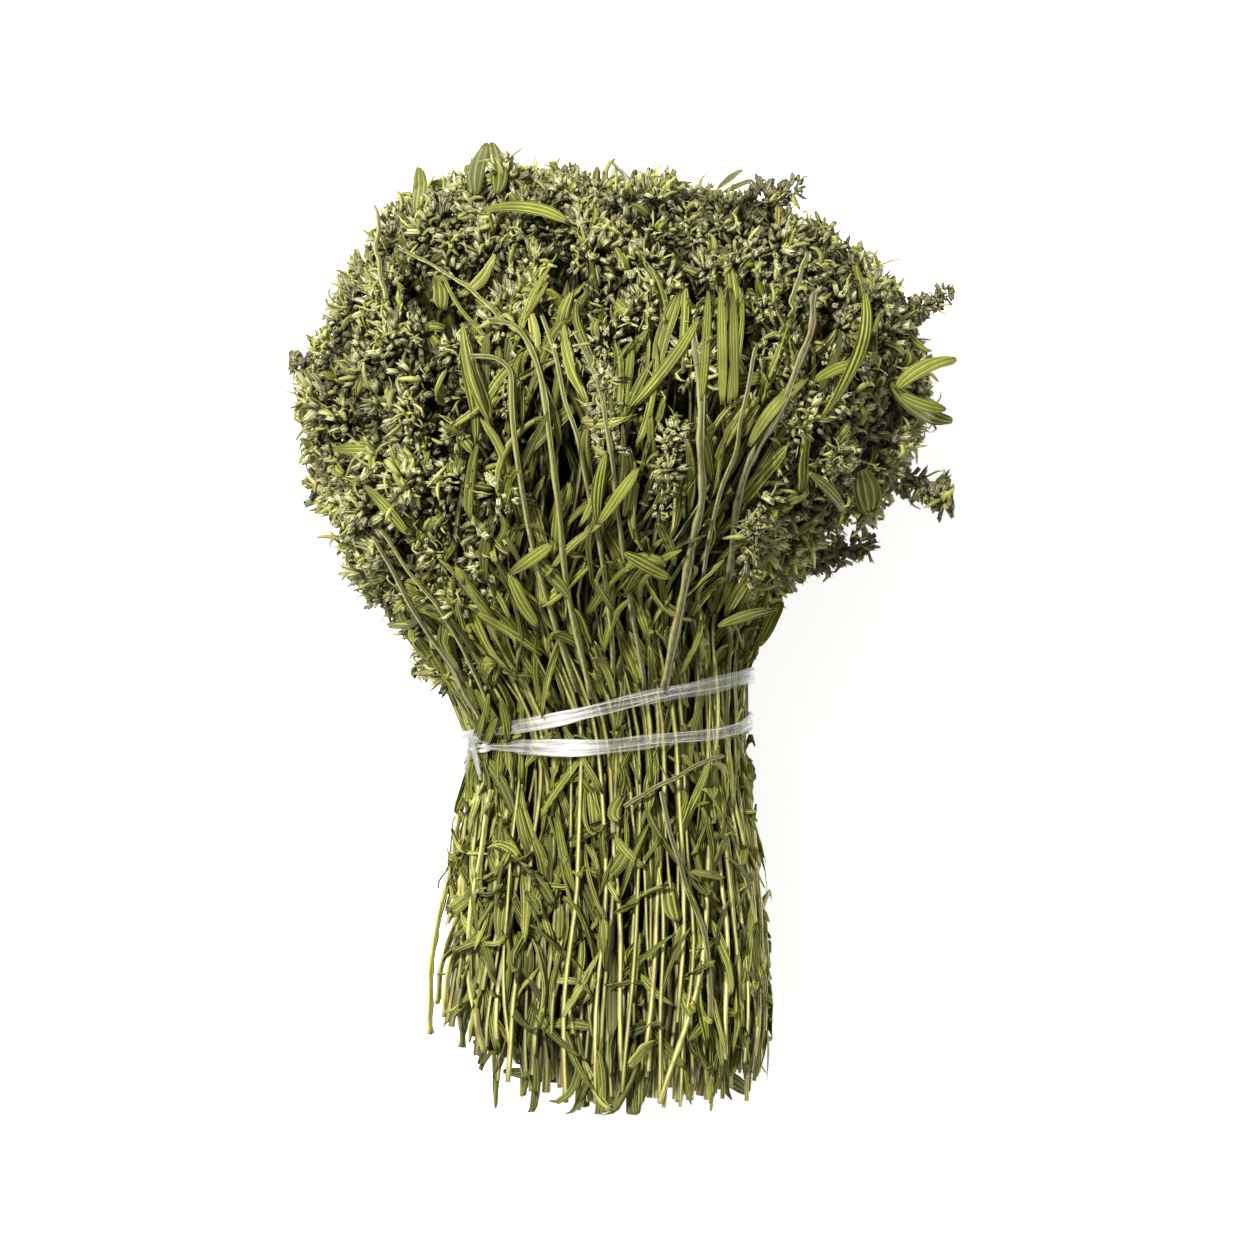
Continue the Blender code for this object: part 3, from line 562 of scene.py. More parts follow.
def bud_template():
    """A closed bud: base, two rings and a tip."""
    ring = np.arange(CALYX_SIDES)
    after = (ring + 1) % CALYX_SIDES
    low, high = 1, 1 + CALYX_SIDES
    base, tip = np.zeros(CALYX_SIDES, int), np.full(CALYX_SIDES, 1 + 2 * CALYX_SIDES)
    triangles = [
        np.stack(corners, -1)
        for corners in ((base, low + after, low + ring), (high + ring, high + after, tip))
    ]
    quads = np.stack([low + ring, low + after, high + after, high + ring], -1)
    return [np.vstack(triangles), quads]


# Each form's faces, the height and girth of its rings, whether a ring stands half a step round,
# and the height of its last point.
CALYX_FORMS = {
    "cup": (calyx_template(), ((0.4, 1.0, 0), (0.86, 1.0, 0), (1.0, 0.85, 0.5)), 0.6),
    "bud": (bud_template(), ((0.3, 0.95, 0), (0.72, 0.85, 0)), 1.0),
}


def add_calyces(form, owner, root, direction, length, width, flare, tint, zone, bend):
    """Cups or buds along their direction; flare spreads the teeth of a cup."""
    faces, rings, last = CALYX_FORMS[form]
    count = len(root)
    direction = unit(direction)
    helper = unit(np.cross(direction, rng.normal(size=(count, 3))))
    other = np.cross(direction, helper)
    turn = TURN * np.arange(CALYX_SIDES) / CALYX_SIDES
    heights = np.concatenate([[0], *[np.full(CALYX_SIDES, h) for h, _, _ in rings], [last]])
    girths = np.concatenate([[0], *[np.full(CALYX_SIDES, g) for _, g, _ in rings], [0]])
    angles = np.concatenate([[0], *[turn + k * turn[1] for _, _, k in rings], [0]])
    tips = heights * (girths > 0) == 1.0
    radius = width[:, None] / 2 * girths * np.where(tips, flare[:, None], 1.0)
    radius = radius * (1 + 0.13 * rng.normal(size=radius.shape))
    jitter = 1 + 0.16 * rng.normal(size=radius.shape) * tips
    stand = length[:, None] * heights * jitter
    sag = (bend[:, None] * heights**2 * length[:, None])[..., None] * helper[:, None]
    points = (
        root[:, None]
        + direction[:, None] * stand[..., None]
        + helper[:, None] * (radius * np.cos(angles))[..., None]
        + other[:, None] * (radius * np.sin(angles))[..., None]
        + sag
    )
    along = np.where(tips | (last == 1.0), heights, heights * 0.9)
    if form == "cup":
        along[-1] = 0.0
    look = looks_of(tint, along, angles / TURN)
    zone = np.broadcast_to(zone[:, None], points.shape[:2])
    made.add(owner, points, faces, look, "calyx", zone)


# ---- stems

ASLANT = np.array([0.31, 0.2, 0.93])  # a direction that hardly any stem runs in


def tube_faces(rows, sides):
    """Quads between a tube's rings, and the caps of its two ends."""
    grid = np.arange(rows * sides).reshape(rows, sides)
    after = np.roll(grid, -1, axis=1)
    quads = np.stack([grid[:-1], after[:-1], after[1:], grid[1:]], -1).reshape(-1, 4)
    return [quads, np.stack([grid[0][::-1], grid[-1]])]


def add_tubes(
    owner, paths, radius, tint, shade="stem", sides=6, square=0.12, zone=None,
    flatness=1.0, spin=0.0, swell=0.18,
):
    """Stems, or strands if flat: tubes along paths (copies, points, 3), a little thicker at nodes."""
    count, rows = paths.shape[:2]
    tangent = unit(np.gradient(paths, axis=1))
    side = unit(np.cross(tangent, ASLANT))
    rise = np.cross(side, tangent)
    turn = TURN * np.arange(sides) / sides
    radius = np.broadcast_to(radius, (count, rows))
    knots = 1 + swell * (np.sin(np.arange(rows)[None] * 2.1 + 9 * np.asarray(tint)[:, None]) > 0.9)
    ring = 1 + square * np.cos(4 * turn)
    spin = np.broadcast_to(spin, (count, rows))[..., None]
    size = (radius * knots)[..., None] * ring
    x = size * np.cos(turn)
    z = size * np.sin(turn) * flatness
    x, z = x * np.cos(spin) - z * np.sin(spin), x * np.sin(spin) + z * np.cos(spin)
    points = paths[:, :, None] + side[:, :, None] * x[..., None] + rise[:, :, None] * z[..., None]
    points = points.reshape(count, -1, 3)
    along, across = np.meshgrid(np.linspace(0, 1, rows), np.arange(sides) / sides, indexing="ij")
    zone = stem_age(paths[..., 1])[:, :, None] if zone is None else zone
    zone = np.broadcast_to(zone, (count, rows, sides)).reshape(count, -1)
    look = looks_of(tint, along.ravel(), across.ravel())
    made.add(owner, points, tube_faces(rows, sides), look, shade, zone)


def stem_age(y):
    """0 for straw-coloured stems near the cut ends, 1 for grey-brown ones among the flowers."""
    return np.clip((y + 45) / 95, 0, 1)


def ripple(paths, size):
    """The paths with gentle bends of their own."""
    count, rows = paths.shape[:2]
    t = np.linspace(0, 1, rows)
    shift = np.zeros_like(paths)
    for wave in (1, 2, 3):
        phase = draw(0, TURN, (count, 1, 3))
        shift += np.sin(TURN * wave * t[None, :, None] * 1.3 + phase) / wave
    shift[..., 1] *= 0.3
    return paths + shift * size


def inner_stem_paths(waist, waist_depth, head, head_y, head_depth, cut_y, splay):
    """Stems that run from their cut ends through the tie and fan out to their heads."""
    y = cut_y[:, None] + (head_y - cut_y)[:, None] * np.linspace(0, 1, INNER_ROWS)
    fan = np.clip((y - WAIST_Y) / (head_y[:, None] - WAIST_Y), 0, 1) ** 1.3
    below = np.clip((WAIST_Y - y) / 80, 0, 1.2)
    angle = waist[:, None] + wrapped(head - waist)[:, None] * fan + splay[:, None] * below
    depth = waist_depth[:, None] + (head_depth - waist_depth)[:, None] * fan - 3.2 * below**1.5
    return place(angle, y, np.maximum(depth, 0.7))


# ---- materials

# Colours in linear light, red, green and blue; a ramp's colours run with each leaf's own tint.
LEAF_COLOURS = (
    (0, (0.060, 0.070, 0.008)),
    (0.35, (0.190, 0.212, 0.022)),
    (0.7, (0.350, 0.375, 0.045)),
    (1, (0.580, 0.570, 0.130)),
)
LEAF_GREY = (0.165, 0.160, 0.048, 1)
# Painted shade for the grooves between a leaf's ridges, and painted highlight for their crests.
LEAF_GROOVE_SHADE = (0.30, 0.31, 0.20, 1)
LEAF_RIDGE_HIGHLIGHT = (0.70, 0.70, 0.24, 1)
LEAF_BROWN = (0.11, 0.085, 0.022, 1)
LEAF_TIP = (0.34, 0.29, 0.07, 1)
STEM_COLOURS = (
    (0, (0.84, 0.78, 0.28)),
    (0.2, (0.58, 0.55, 0.15)),
    (0.42, (0.34, 0.35, 0.065)),
    (0.75, (0.25, 0.24, 0.080)),
    (1, (0.23, 0.20, 0.115)),
)
# Painted shade for a stem's grooves, and painted highlight for its crests.
STEM_GROOVE_SHADE = (0.26, 0.24, 0.15, 1)
STEM_CREST_HIGHLIGHT = (0.62, 0.60, 0.26, 1)
STEM_SPOT = (0.17, 0.12, 0.045, 1)
CALYX_COLOURS = ((0, (0.23, 0.20, 0.11)), (0.5, (0.37, 0.355, 0.12)), (1, (0.48, 0.52, 0.12)))
TOOTH_COLOURS = ((0, (0.48, 0.45, 0.24)), (0.6, (0.68, 0.68, 0.30)), (1, (0.92, 0.92, 0.58)))
# Painted shade at a calyx's root, inside its whorl.
CALYX_ROOT_SHADE = (0.085, 0.080, 0.034, 1)
CALYX_GROOVE = (0.30, 0.29, 0.22, 1)
CALYX_PURPLE = (0.78, 0.68, 0.72, 1)
CALYX_HAIR = (0.92, 0.90, 0.50, 1)
CORE_SHADE_COLOURS = (
    (0.38, (0.004, 0.004, 0.001)), (0.52, (0.022, 0.023, 0.006)), (0.68, (0.10, 0.10, 0.024)),
)
FILM_CLEAR, FILM_WHITE = (0.42, 0.42, 0.34, 1), (0.92, 0.92, 0.86, 1)
FIBRE_WHITE_AND_HIGHLIGHT = (1, 1, 0.98, 1)
PAINTED_SHADE_TONE = (0.18, 0.17, 0.10, 1)  # what colours are multiplied by deep in the bundle, as painted shade
STEM_GROOVES, CALYX_NERVES = 4, 5  # round each


class Value:
    """What a node gives out. Sums, products and powers of values make maths nodes."""

    def __init__(self, socket):
        self.socket = socket

    def __add__(self, other):
        return maths("ADD", self, other)

    def __sub__(self, other):
        return maths("SUBTRACT", self, other)

    def __rsub__(self, other):
        return maths("SUBTRACT", other, self)

    def __mul__(self, other):
        return maths("MULTIPLY", self, other)

    def __pow__(self, other):
        return maths("POWER", self, other)

    def clamped(self):
        """The same value, held between 0 and 1."""
        self.socket.node.use_clamp = True
        return self


def feed(node, inputs):
    """Links a node's inputs to values, or sets them to constants."""
    for name, value in inputs.items():
        if isinstance(value, Value):
            node.id_data.links.new(value.socket, node.inputs[name])
        else:
            node.inputs[name].default_value = value


def maths(operation, *inputs):
    """A maths node in the tree of whichever input is a value."""
    tree = next(value.socket.id_data for value in inputs if isinstance(value, Value))
    node = tree.nodes.new("ShaderNodeMath")
    node.operation = operation
    feed(node, dict(enumerate(inputs)))
    return Value(node.outputs[0])


def wave(operation, value):
    """A sine or cosine that runs from 0 to 1."""
    return (maths(operation, value) * 0.5 + 0.5).clamped()


def spots(value, level, gain):
    """0 to 1 where the value passes the level."""
    return ((value - level).clamped() * gain).clamped()


class Shading:
    """A material in the making, with what every vertex tells it."""

    def __init__(self, name):
        self.material = bpy.data.materials.new(name)
        self.material.use_nodes = True
        self.tree = self.material.node_tree
        self.shader = self.tree.nodes["Principled BSDF"]
        look = self.node("ShaderNodeAttribute", output="Vector", attribute_name="look")
        parts = self.node("ShaderNodeSeparateXYZ", {0: look}).socket.node.outputs
        self.tint, self.along, self.across = (Value(socket) for socket in parts)
        self.zone, self.deep = (
            self.node("ShaderNodeAttribute", output="Fac", attribute_name=kind)
            for kind in ("zone", "deep")
        )

    def node(self, kind, inputs=(), output=0, **settings):
        node = self.tree.nodes.new(kind)
        for key, value in settings.items():
            setattr(node, key, value)
        feed(node, dict(inputs))
        return Value(node.outputs[output])

    def mix(self, factor, a, b, blend="MIX"):
        inputs = {0: factor, 6: a, 7: b}
        return self.node("ShaderNodeMix", inputs, 2, data_type="RGBA", blend_type=blend)

    def times(self, colour, by):
        """One colour multiplied by another."""
        return self.mix(1.0, colour, by, "MULTIPLY")

    def ramp(self, factor, stops):
        """The colour at that place on a ramp."""
        made = self.node("ShaderNodeValToRGB", {0: factor})
        elements = made.socket.node.color_ramp.elements
        while len(elements) < len(stops):
            elements.new(0.5)
        for element, (position, colour) in zip(elements, stops):
            element.position = position
            element.color = (*colour, 1)
        return made

    def noise(self, scale, detail=2.0, stretch=(1, 1, 1)):
        where = self.node("ShaderNodeTexCoord", output="Object")
        where = self.node("ShaderNodeMapping", {"Vector": where, "Scale": stretch})
        inputs = {"Vector": where, "Scale": scale, "Detail": detail, "Roughness": 0.5}
        return self.node("ShaderNodeTexNoise", inputs)

    def with_painted_shade(self, colour, share):
        """The colour, that share of the way to its painted shade tone."""
        return self.mix(share, colour, self.times(colour, PAINTED_SHADE_TONE))

    def finished(self, colour, height, strength, distance, sockets):
        """The material, once its colour, bump and other sockets are set."""
        inputs = {"Height": height, "Strength": strength, "Distance": distance}
        bump = self.node("ShaderNodeBump", inputs)
        feed(self.shader, {"Base Color": colour, "Normal": bump, **sockets})
        return self.material


def leaf_material():
    """Olive leaves, browned here and there: painted shade in their grooves and deep in the bundle, painted
    highlight on their crests, partly their own fine pale lines.
    """
    m = Shading("leaf")
    base = m.mix(m.zone, m.ramp(m.tint, LEAF_COLOURS), LEAF_GREY)
    fold = wave("COSINE", m.across)
    line = wave("COSINE", m.across * 2.0)
    patches = m.noise(330.0, 3.0, (1, 0.5, 1))
    # Painted shade in the grooves of the folds and between the fine lines.
    groove = m.times(base, LEAF_GROOVE_SHADE)
    crease_shade = (1 - fold) * (1.25 - patches)
    coloured = m.mix((crease_shade * 0.75).clamped(), base, groove)
    coloured = m.mix((1 - line) * 0.38, coloured, groove)
    # Painted highlight on the crests, partly the leaf's own pale lines.
    ridge_highlight = m.mix((m.tint * 0.8 + 0.15).clamped(), base, LEAF_RIDGE_HIGHLIGHT)
    pale = line * fold * (patches * 1.3)
    coloured = m.mix((pale - 0.12).clamped(), coloured, ridge_highlight)
    coloured = m.mix(spots(m.noise(120.0), 0.5, 2.4), coloured, LEAF_BROWN)
    coloured = m.mix(m.along**6.0 * 0.4, coloured, LEAF_TIP)
    height = line + m.noise(1500.0, 2.0, (1, 0.3, 1)) * 0.7
    sockets = {"Roughness": patches * 0.3 + 0.45, "Specular IOR Level": 0.25}
    return m.finished(m.with_painted_shade(coloured, m.deep * 0.85), height, 0.7, 0.0002, sockets)


def stem_material():
    """Grooved stems, straw-coloured at the cut ends and grey-brown among the flowers; painted shade in
    their grooves and deep in the bundle, painted highlight on their crests.
    """
    m = Shading("stem")
    base = m.ramp(m.zone * 0.64 + m.tint * 0.36, STEM_COLOURS)
    fibre = m.noise(1100.0, 3.0, (1, 0.08, 1))
    groove = maths("SINE", m.across * (TURN * STEM_GROOVES))
    # lit: painted light and shade from the groove wave, lighter on the crests and darker in the grooves,
    # with the fibres' own streaks.
    lit = groove * 0.5 + fibre * 1.6
    coloured = m.mix((lit - 0.2).clamped(), m.times(base, STEM_GROOVE_SHADE), base)
    coloured = m.mix(maths("MAXIMUM", groove, 0.0) ** 2.0 * 0.35, coloured, STEM_CREST_HIGHLIGHT)
    coloured = m.mix(spots(m.noise(420.0, 2.0, (1, 0.4, 1)), 0.53, 3.4), coloured, STEM_SPOT)
    height = groove * 0.4 + fibre
    sockets = {"Roughness": fibre * 0.3 + 0.4}
    return m.finished(m.with_painted_shade(coloured, m.deep * 0.85), height, 0.9, 0.0003, sockets)


def calyx_material():
    """Hairy calyces: grey-brown tubes with green nerves, and paler teeth; painted shade at their roots, at
    a whorl's edges and deep in the bundle.
    """
    m = Shading("calyx")
    towards_tip = m.along**1.4 * 0.95
    base = m.mix(towards_tip, m.ramp(m.tint, CALYX_COLOURS), m.ramp(m.tint, TOOTH_COLOURS))
    # Painted shade at each calyx's root.
    base = m.mix((0.75 - m.along * 2.0).clamped(), base, CALYX_ROOT_SHADE)
    nerve = wave("SINE", m.across * (TURN * CALYX_NERVES))
    lined = m.mix((1 - nerve) * 0.75, base, m.times(base, CALYX_GROOVE))
    lined = m.mix(nerve**4.0 * 0.5, lined, CALYX_HAIR)
    tinged = m.mix(spots(m.noise(150.0), 0.47, 2.6), lined, m.times(lined, CALYX_PURPLE))
    hairs = m.noise(1900.0)
    hairy = m.mix(spots(hairs, 0.55, 6.0) * 0.6, tinged, CALYX_HAIR)
    # Painted shade on the calyces at a whorl's edges, carried by zone.
    low = m.with_painted_shade(hairy, m.zone * 0.62)
    sockets = {"Roughness": 0.7, "Specular IOR Level": 0.3}
    return m.finished(m.with_painted_shade(low, m.deep * 0.76), hairs + nerve * 0.5, 0.7, 0.0003, sockets)


def core_material():
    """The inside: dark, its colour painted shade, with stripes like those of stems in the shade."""
    m = Shading("core")
    stripes = m.noise(420.0, 4.0, (1, 0.09, 1))
    sockets = {"Roughness": 1.0, "Specular IOR Level": 0.0}
    return m.finished(m.ramp(stripes, CORE_SHADE_COLOURS), stripes, 1.0, 0.002, sockets)


def twine_material():
    """Clear split film: streaks of glossy white along it, clear between. A fibre is whiter; where the film
    carries painted highlights it is whiter and more opaque too.
    """
    m = Shading("twine")
    where = m.node("ShaderNodeCombineXYZ", {0: m.along * 34.0, 1: m.across * 9.0, 2: m.tint})
    inputs = {"Vector": where, "Scale": 1.0, "Detail": 4.0, "Roughness": 0.6}
    streak = m.node("ShaderNodeTexNoise", inputs)
    # zone: a fibre's own whiteness, or on the film a painted highlight.
    white = m.mix(m.zone, m.mix(streak, FILM_CLEAR, FILM_WHITE), FIBRE_WHITE_AND_HIGHLIGHT)
    opacity = (streak * 1.5 + m.noise(95.0) * 0.9 - 1.32).clamped()
    opacity = (opacity + 0.15 + m.zone * (streak * 1.1)).clamped()
    sockets = {"Alpha": opacity, "Roughness": 0.3, "Coat Weight": 0.1}
    return m.finished(white, streak, 0.8, 0.0004, sockets)


# ---- owners of the pieces

PLAN = sprig_plan()
SPRIGS = len(PLAN)
LINES = [sprig_lines(s) for s in PLAN]
STEM_OWNER = np.arange(SPRIGS)
HEAD_OWNER = SPRIGS + np.arange(SPRIGS)
SHEAF, INNER_LEAVES, LOW_FLOWERS, HIGH_FLOWERS, TIE = range(2 * SPRIGS, 2 * SPRIGS + 5)

# ---- flower heads

WHORL_RADIUS = 6.3
WHORL_GAP = 8.3  # between the middles of whorls inside
WHORL_STEP = 4.4  # along an outer head
WHORL_SPARE = 1.2  # mm that a whorl's calyces reach past its radius
HIGH_FROM = 69.0  # Y above which the flowers inside belong to the upper piece
BRACT_WHORL = 4.5  # radius above which a whorl has two broader bracts
HIDDEN_SHARE = 0.45  # of the calyces that a whorl keeps on the underside
GOLDEN = math.pi * (3 - math.sqrt(5))

# Whorls inside: how many places are tried, their Y and depth, and the same for those past END_FROM,
# which fill the flower end.
WHORL_TRIES = 8000
WHORL_Y, WHORL_DEPTH = (-13, 134), (5.6, 13.0)
END_FROM, END_Y, END_DEPTH = 106, (99, 121), (6.5, 44.5)
TURNED_FROM, TURN_Y, TURN_SPAN = 104, 100, 14  # from where and how fast they turn to face that end
CUPS, CURLS = 50, 11  # a whorl
SPIKE_CUPS, SPIKE_CURLS, SPIKE_TONE = 30, 5, 0.2
CLUTTER = 2700  # places tried for low buds
CLUTTER_Y, CLUTTER_DEPTH = (-10, 112), (9.0, 14.5)


def sphere_directions(count):
    """Directions spread evenly over a sphere."""
    k = np.arange(count) + 0.5
    z = 1 - 2 * k / count
    r = np.sqrt(1 - z * z)
    return np.stack([r * np.cos(k * GOLDEN), r * np.sin(k * GOLDEN), z], -1)


def flowers_from(angle):
    """Lowest Y of the flower mass at each angle round the bundle."""
    return straight_between(FLOWERS_FROM, np.degrees(angle) % 360)


def outer_whorls():
    """Centres, radii, axes, outward vectors and owners of the whorls on the 24 outer heads."""
    found = []
    for n, (sprig, (_, axis)) in enumerate(zip(PLAN, LINES)):
        radius = sprig["radius"]
        count = max(round((sprig["tip_y"] - sprig["foot_y"]) / WHORL_STEP), 5)
        heading = unit(axis[-1] - axis[0])
        out = outward(sprig["angle"], axis[len(axis) // 2][1])
        side = np.cross(heading, out)
        for k in range(count):
            share = (k + 0.5) / count
            girth = 0.42 + 0.58 * math.sin(math.pi * min(share * 0.92 + 0.04, 1)) ** 0.7
            size = WHORL_RADIUS * (0.78 + 0.3 * girth) * radius / HEAD_RADIUS
            reach = max(radius * girth - size, 0.0)
            turn = k * GOLDEN + 0.4
            spread = out * abs(math.cos(turn)) + side * math.sin(turn)
            middle = axis[min(int(share * (len(axis) - 1) + 0.5), len(axis) - 1)]
            centre = inside(middle + spread * reach * 1.1, size + WHORL_SPARE)
            found.append((centre, size, heading, out, HEAD_OWNER[n]))
    return found


def inner_whorls(taken):
    """Whorls that fill the flower mass between the outer heads, no two nearer than they may be."""
    centres = np.array([c for c, *_ in taken])
    found = []
    angles, ys, depths = (
        draw(*limits, WHORL_TRIES) for limits in (ALL_ROUND, WHORL_Y, WHORL_DEPTH)
    )
    top = ys > END_FROM
    depths[top] = draw(*END_DEPTH, top.sum())
    ys[top] = draw(*END_Y, top.sum())
    lowest = flowers_from(angles)
    sizes = WHORL_RADIUS * draw(0.72, 1.22, WHORL_TRIES)
    spots = inside(place(angles, ys, depths), sizes + WHORL_SPARE)
    for y, low, spot, size, out in zip(ys, lowest, spots, sizes, outward(angles, ys)):
        if y < low + draw(-6, 5):
            continue
        if np.linalg.norm(centres - spot, axis=1).min() < WHORL_GAP:
            continue
        centres = np.vstack([centres, spot])
        if y >= TURNED_FROM:
            out = unit(out * 0.5 + AHEAD * (y - TURN_Y) / TURN_SPAN)
        owner = LOW_FLOWERS if spot[1] < HIGH_FROM else HIGH_FLOWERS
        heading = unit(AHEAD + out * 0.5 + rng.normal(size=3) * 0.2)
        found.append((spot, size, heading, out, owner))
    return found


def fill_whorls(whorls, cups, curls, mean_tone=0.45):
    """Calyces and curled bracts that stand out of every whorl on its open side."""
    centre, size, heading, out, owner = map(np.array, zip(*whorls))
    count = len(whorls)
    tone = np.clip(rng.normal(mean_tone, 0.22, count), 0, 1)
    hidden = out[:, 2] < -0.55
    grain = np.clip(np.exp(rng.normal(0.02, 0.2, count)), 0.75, 1.45)
    x, y, z = sphere_directions(cups).T
    spin = draw(*ALL_ROUND, (count, 1))
    c, s = np.cos(spin), np.sin(spin)
    turned = np.stack(np.broadcast_arrays(c * x - s * y, s * x + c * y, z), -1)
    turned = unit(turned + rng.normal(size=turned.shape) * 0.14)
    keep = (turned * out[:, None]).sum(-1) > -0.1
    keep &= ~hidden[:, None] | (draw(size=keep.shape) < HIDDEN_SHARE)
    which = np.nonzero(keep)
    d, w = turned[which], which[0]
    n = len(w)
    aim = unit(d + heading[w] * 0.3 + rng.normal(size=d.shape) * 0.2)
    root = centre[w] + d * (size[w] * draw(0.22, 0.76, n))[:, None]
    closed = draw(size=n) < 0.14
    facing = (d * out[w]).sum(-1)
    values = {
        "owner": owner[w], "root": root, "direction": aim,
        "length": grain[w] * np.where(closed, draw(1.6, 2.6, n), draw(2.3, 4.1, n)),
        "width": grain[w] * draw(0.95, 1.6, n),
        "flare": draw(0.75, 1.15, n),
        # tint: the whorl's own tone, paler where a calyx faces out of it, which is painted light; zone:
        # painted shade on calyces facing sideways, at the whorl's edges.
        "tint": np.clip(tone[w] + 0.75 * (facing - 0.5) + rng.normal(0, 0.2, n), 0, 1),
        "zone": np.clip(1.1 - 1.5 * facing, 0, 1),
        "bend": draw(0.0, 0.5, n),
    }
    for form, chosen in (("bud", closed), ("cup", ~closed)):
        add_calyces(form, **{key: value[chosen] for key, value in values.items()})

    w = np.repeat(np.arange(count), np.where(hidden, int(curls * HIDDEN_SHARE), curls))
    n = len(w)
    d = unit(rng.normal(size=(n, 3)) + out[w] * 1.1)
    root = centre[w] + d * (size[w] * draw(0.35, 0.9, n))[:, None]
    aim = unit(d + heading[w] * 0.6 + rng.normal(size=d.shape) * 0.6)
    add_curls(
        owner[w], root, aim, grain[w] * draw(3.2, 7.2, n), grain[w] * draw(0.7, 1.6, n),
        draw(1.0, 3.4, n) * rng.choice([-1, 1], n), draw(-1.0, 2.6, n),
        np.clip(tone[w] * 0.4 + rng.normal(0.52, 0.24, n), 0, 1), draw(0.0, 0.9, n),
    )

    w = np.repeat(np.nonzero(~hidden & (size > BRACT_WHORL))[0], 2)
    n = len(w)
    d = unit(rng.normal(size=(n, 3)) * 0.8 + out[w])
    add_blades(
        owner[w], centre[w] + d * (size[w] * 0.35)[:, None],
        unit(d + heading[w] * 0.4 + rng.normal(size=d.shape) * 0.5),
        unit(rng.normal(size=(n, 3)) + out[w]),
        draw(5.0, 8.5, n), draw(1.8, 3.0, n), draw(-2.4, -0.4, n),
        draw(-1.6, 0.6, n), rng.normal(0, 0.8, n), draw(-1.4, 1.4, n),
        np.clip(rng.normal(0.68, 0.2, n), 0, 1), draw(0.0, 0.5, n), rows=6, columns=4,
    )


def clutter():
    """Coarse buds low between the whorls, in their shade."""
    angle, y = (draw(*limits, CLUTTER) for limits in (ALL_ROUND, CLUTTER_Y))
    chosen = y > flowers_from(angle) - 4
    angle, y = angle[chosen], y[chosen]
    n = len(y)
    root = inside(place(angle, y, draw(*CLUTTER_DEPTH, n)), WHORL_RADIUS)
    aim = unit(outward(angle, y) + rng.normal(size=(n, 3)) * 0.7)
    add_calyces(
        "bud", np.where(y < HIGH_FROM, LOW_FLOWERS, HIGH_FLOWERS), root, aim,
        draw(3.0, 5.5, n), draw(1.4, 2.6, n), np.ones(n), draw(0, 0.7, n),
        np.full(n, 0.3), draw(0, 0.6, n),
    )


# ---- stems and leaves

INNER_STEMS = 165
EDGE_STEMS = 26  # more of them along the two sides
INNER_ROWS = 28
PACKED_STEMS, PACKED_LENGTH, PACKED_ROWS = 640, 26, 4  # whose ends fill the cut end
CUT_SPREAD, LEFT_CUT_SPREAD = 26, 48  # mm over which cut ends lie, on the whole and at the left
SPREAD_LIMIT = ((-104, -34.5), (-66, -37), (-46, -44))  # Y, and the X that few stems pass
SPREAD_SHARE = 0.8  # of what passes it that is taken back
CUT_SPARE = (8.0, 16.0)  # mm of bare stems at the cut ends in the middle, and more at the sides


def many_stems():
    """The outer sprigs' stems and the thinner ones among them; returns the outer ones' paths."""
    paths = np.array([line for line, _ in LINES])
    radius = STEM_RADIUS * np.linspace(0.58, 0.52, STEM_ROWS) * draw(0.8, 1.1, (SPRIGS, 1))
    outer = ripple(paths, 0.35)
    add_tubes(STEM_OWNER, outer, radius, draw(0, 1, SPRIGS), sides=8, square=0.1)

    count = INNER_STEMS + EDGE_STEMS
    waist = np.arange(INNER_STEMS) + draw(-0.4, 0.4, INNER_STEMS)
    waist = TURN * waist / INNER_STEMS * 3
    edge = draw(-0.4, 0.45, EDGE_STEMS) + math.pi * (np.arange(EDGE_STEMS) % 3 > 0)
    waist = np.concatenate([waist % TURN, edge])
    waist_depth = 2.2 + 6.5 * draw(0, 1, count) ** 1.5 * (np.arange(count) < INNER_STEMS)
    head = waist + rng.normal(0, 0.16, count)
    limit = flowers_from(head)
    head_y = np.maximum(limit, 10) + draw(4, 55, count)
    head_depth = draw(5, 14, count) + np.clip(head_y - limit - 12, 0, 60) * 0.22
    spread = np.where(np.cos(waist) < -0.75, LEFT_CUT_SPREAD, CUT_SPREAD)
    cut_y = cut_line(waist) + spread * draw(0, 1, count) ** 1.9
    splay = rng.normal(0, 0.24, count)
    inner = inner_stem_paths(waist, waist_depth, head, head_y, head_depth, cut_y, splay)
    inner = ripple(drawn_in(inner), 0.8)
    size = draw(0.4, 0.72, (count, 1)) * np.linspace(1.05, 0.8, INNER_ROWS)
    add_tubes(SHEAF, inner, size, draw(0, 1, count) ** 0.75, sides=5)
    return paths


def drawn_in(points):
    """The points, moved in from the sheaf's lower left edge, where only single stems spread."""
    limit = straight_between(SPREAD_LIMIT, points[..., 1])
    past = np.maximum(limit - points[..., 0], 0)
    return points + past[..., None] * np.array([SPREAD_SHARE, 0, 0])


def packed_ends():
    """The cut ends of the stems packed inside, over the whole end of the sheaf."""
    angle = draw(*ALL_ROUND, PACKED_STEMS)
    share = np.sqrt(draw(0, 0.76, PACKED_STEMS))[:, None, None]
    cut = cut_line(angle) + draw(0, 12, PACKED_STEMS)
    y = np.linspace(cut, cut + PACKED_LENGTH, PACKED_ROWS, axis=1)
    _, centre, *_, middle = outline_at(y)
    axis = np.stack([centre, y, middle], -1)
    paths = axis + (place(angle[:, None], y, 0) - axis) * share
    radius = draw(0.6, 1.3, (PACKED_STEMS, 1))
    paths = ripple(drawn_in(paths), 0.4)
    add_tubes(SHEAF, paths, radius, draw(0.3, 1, PACKED_STEMS), sides=5)


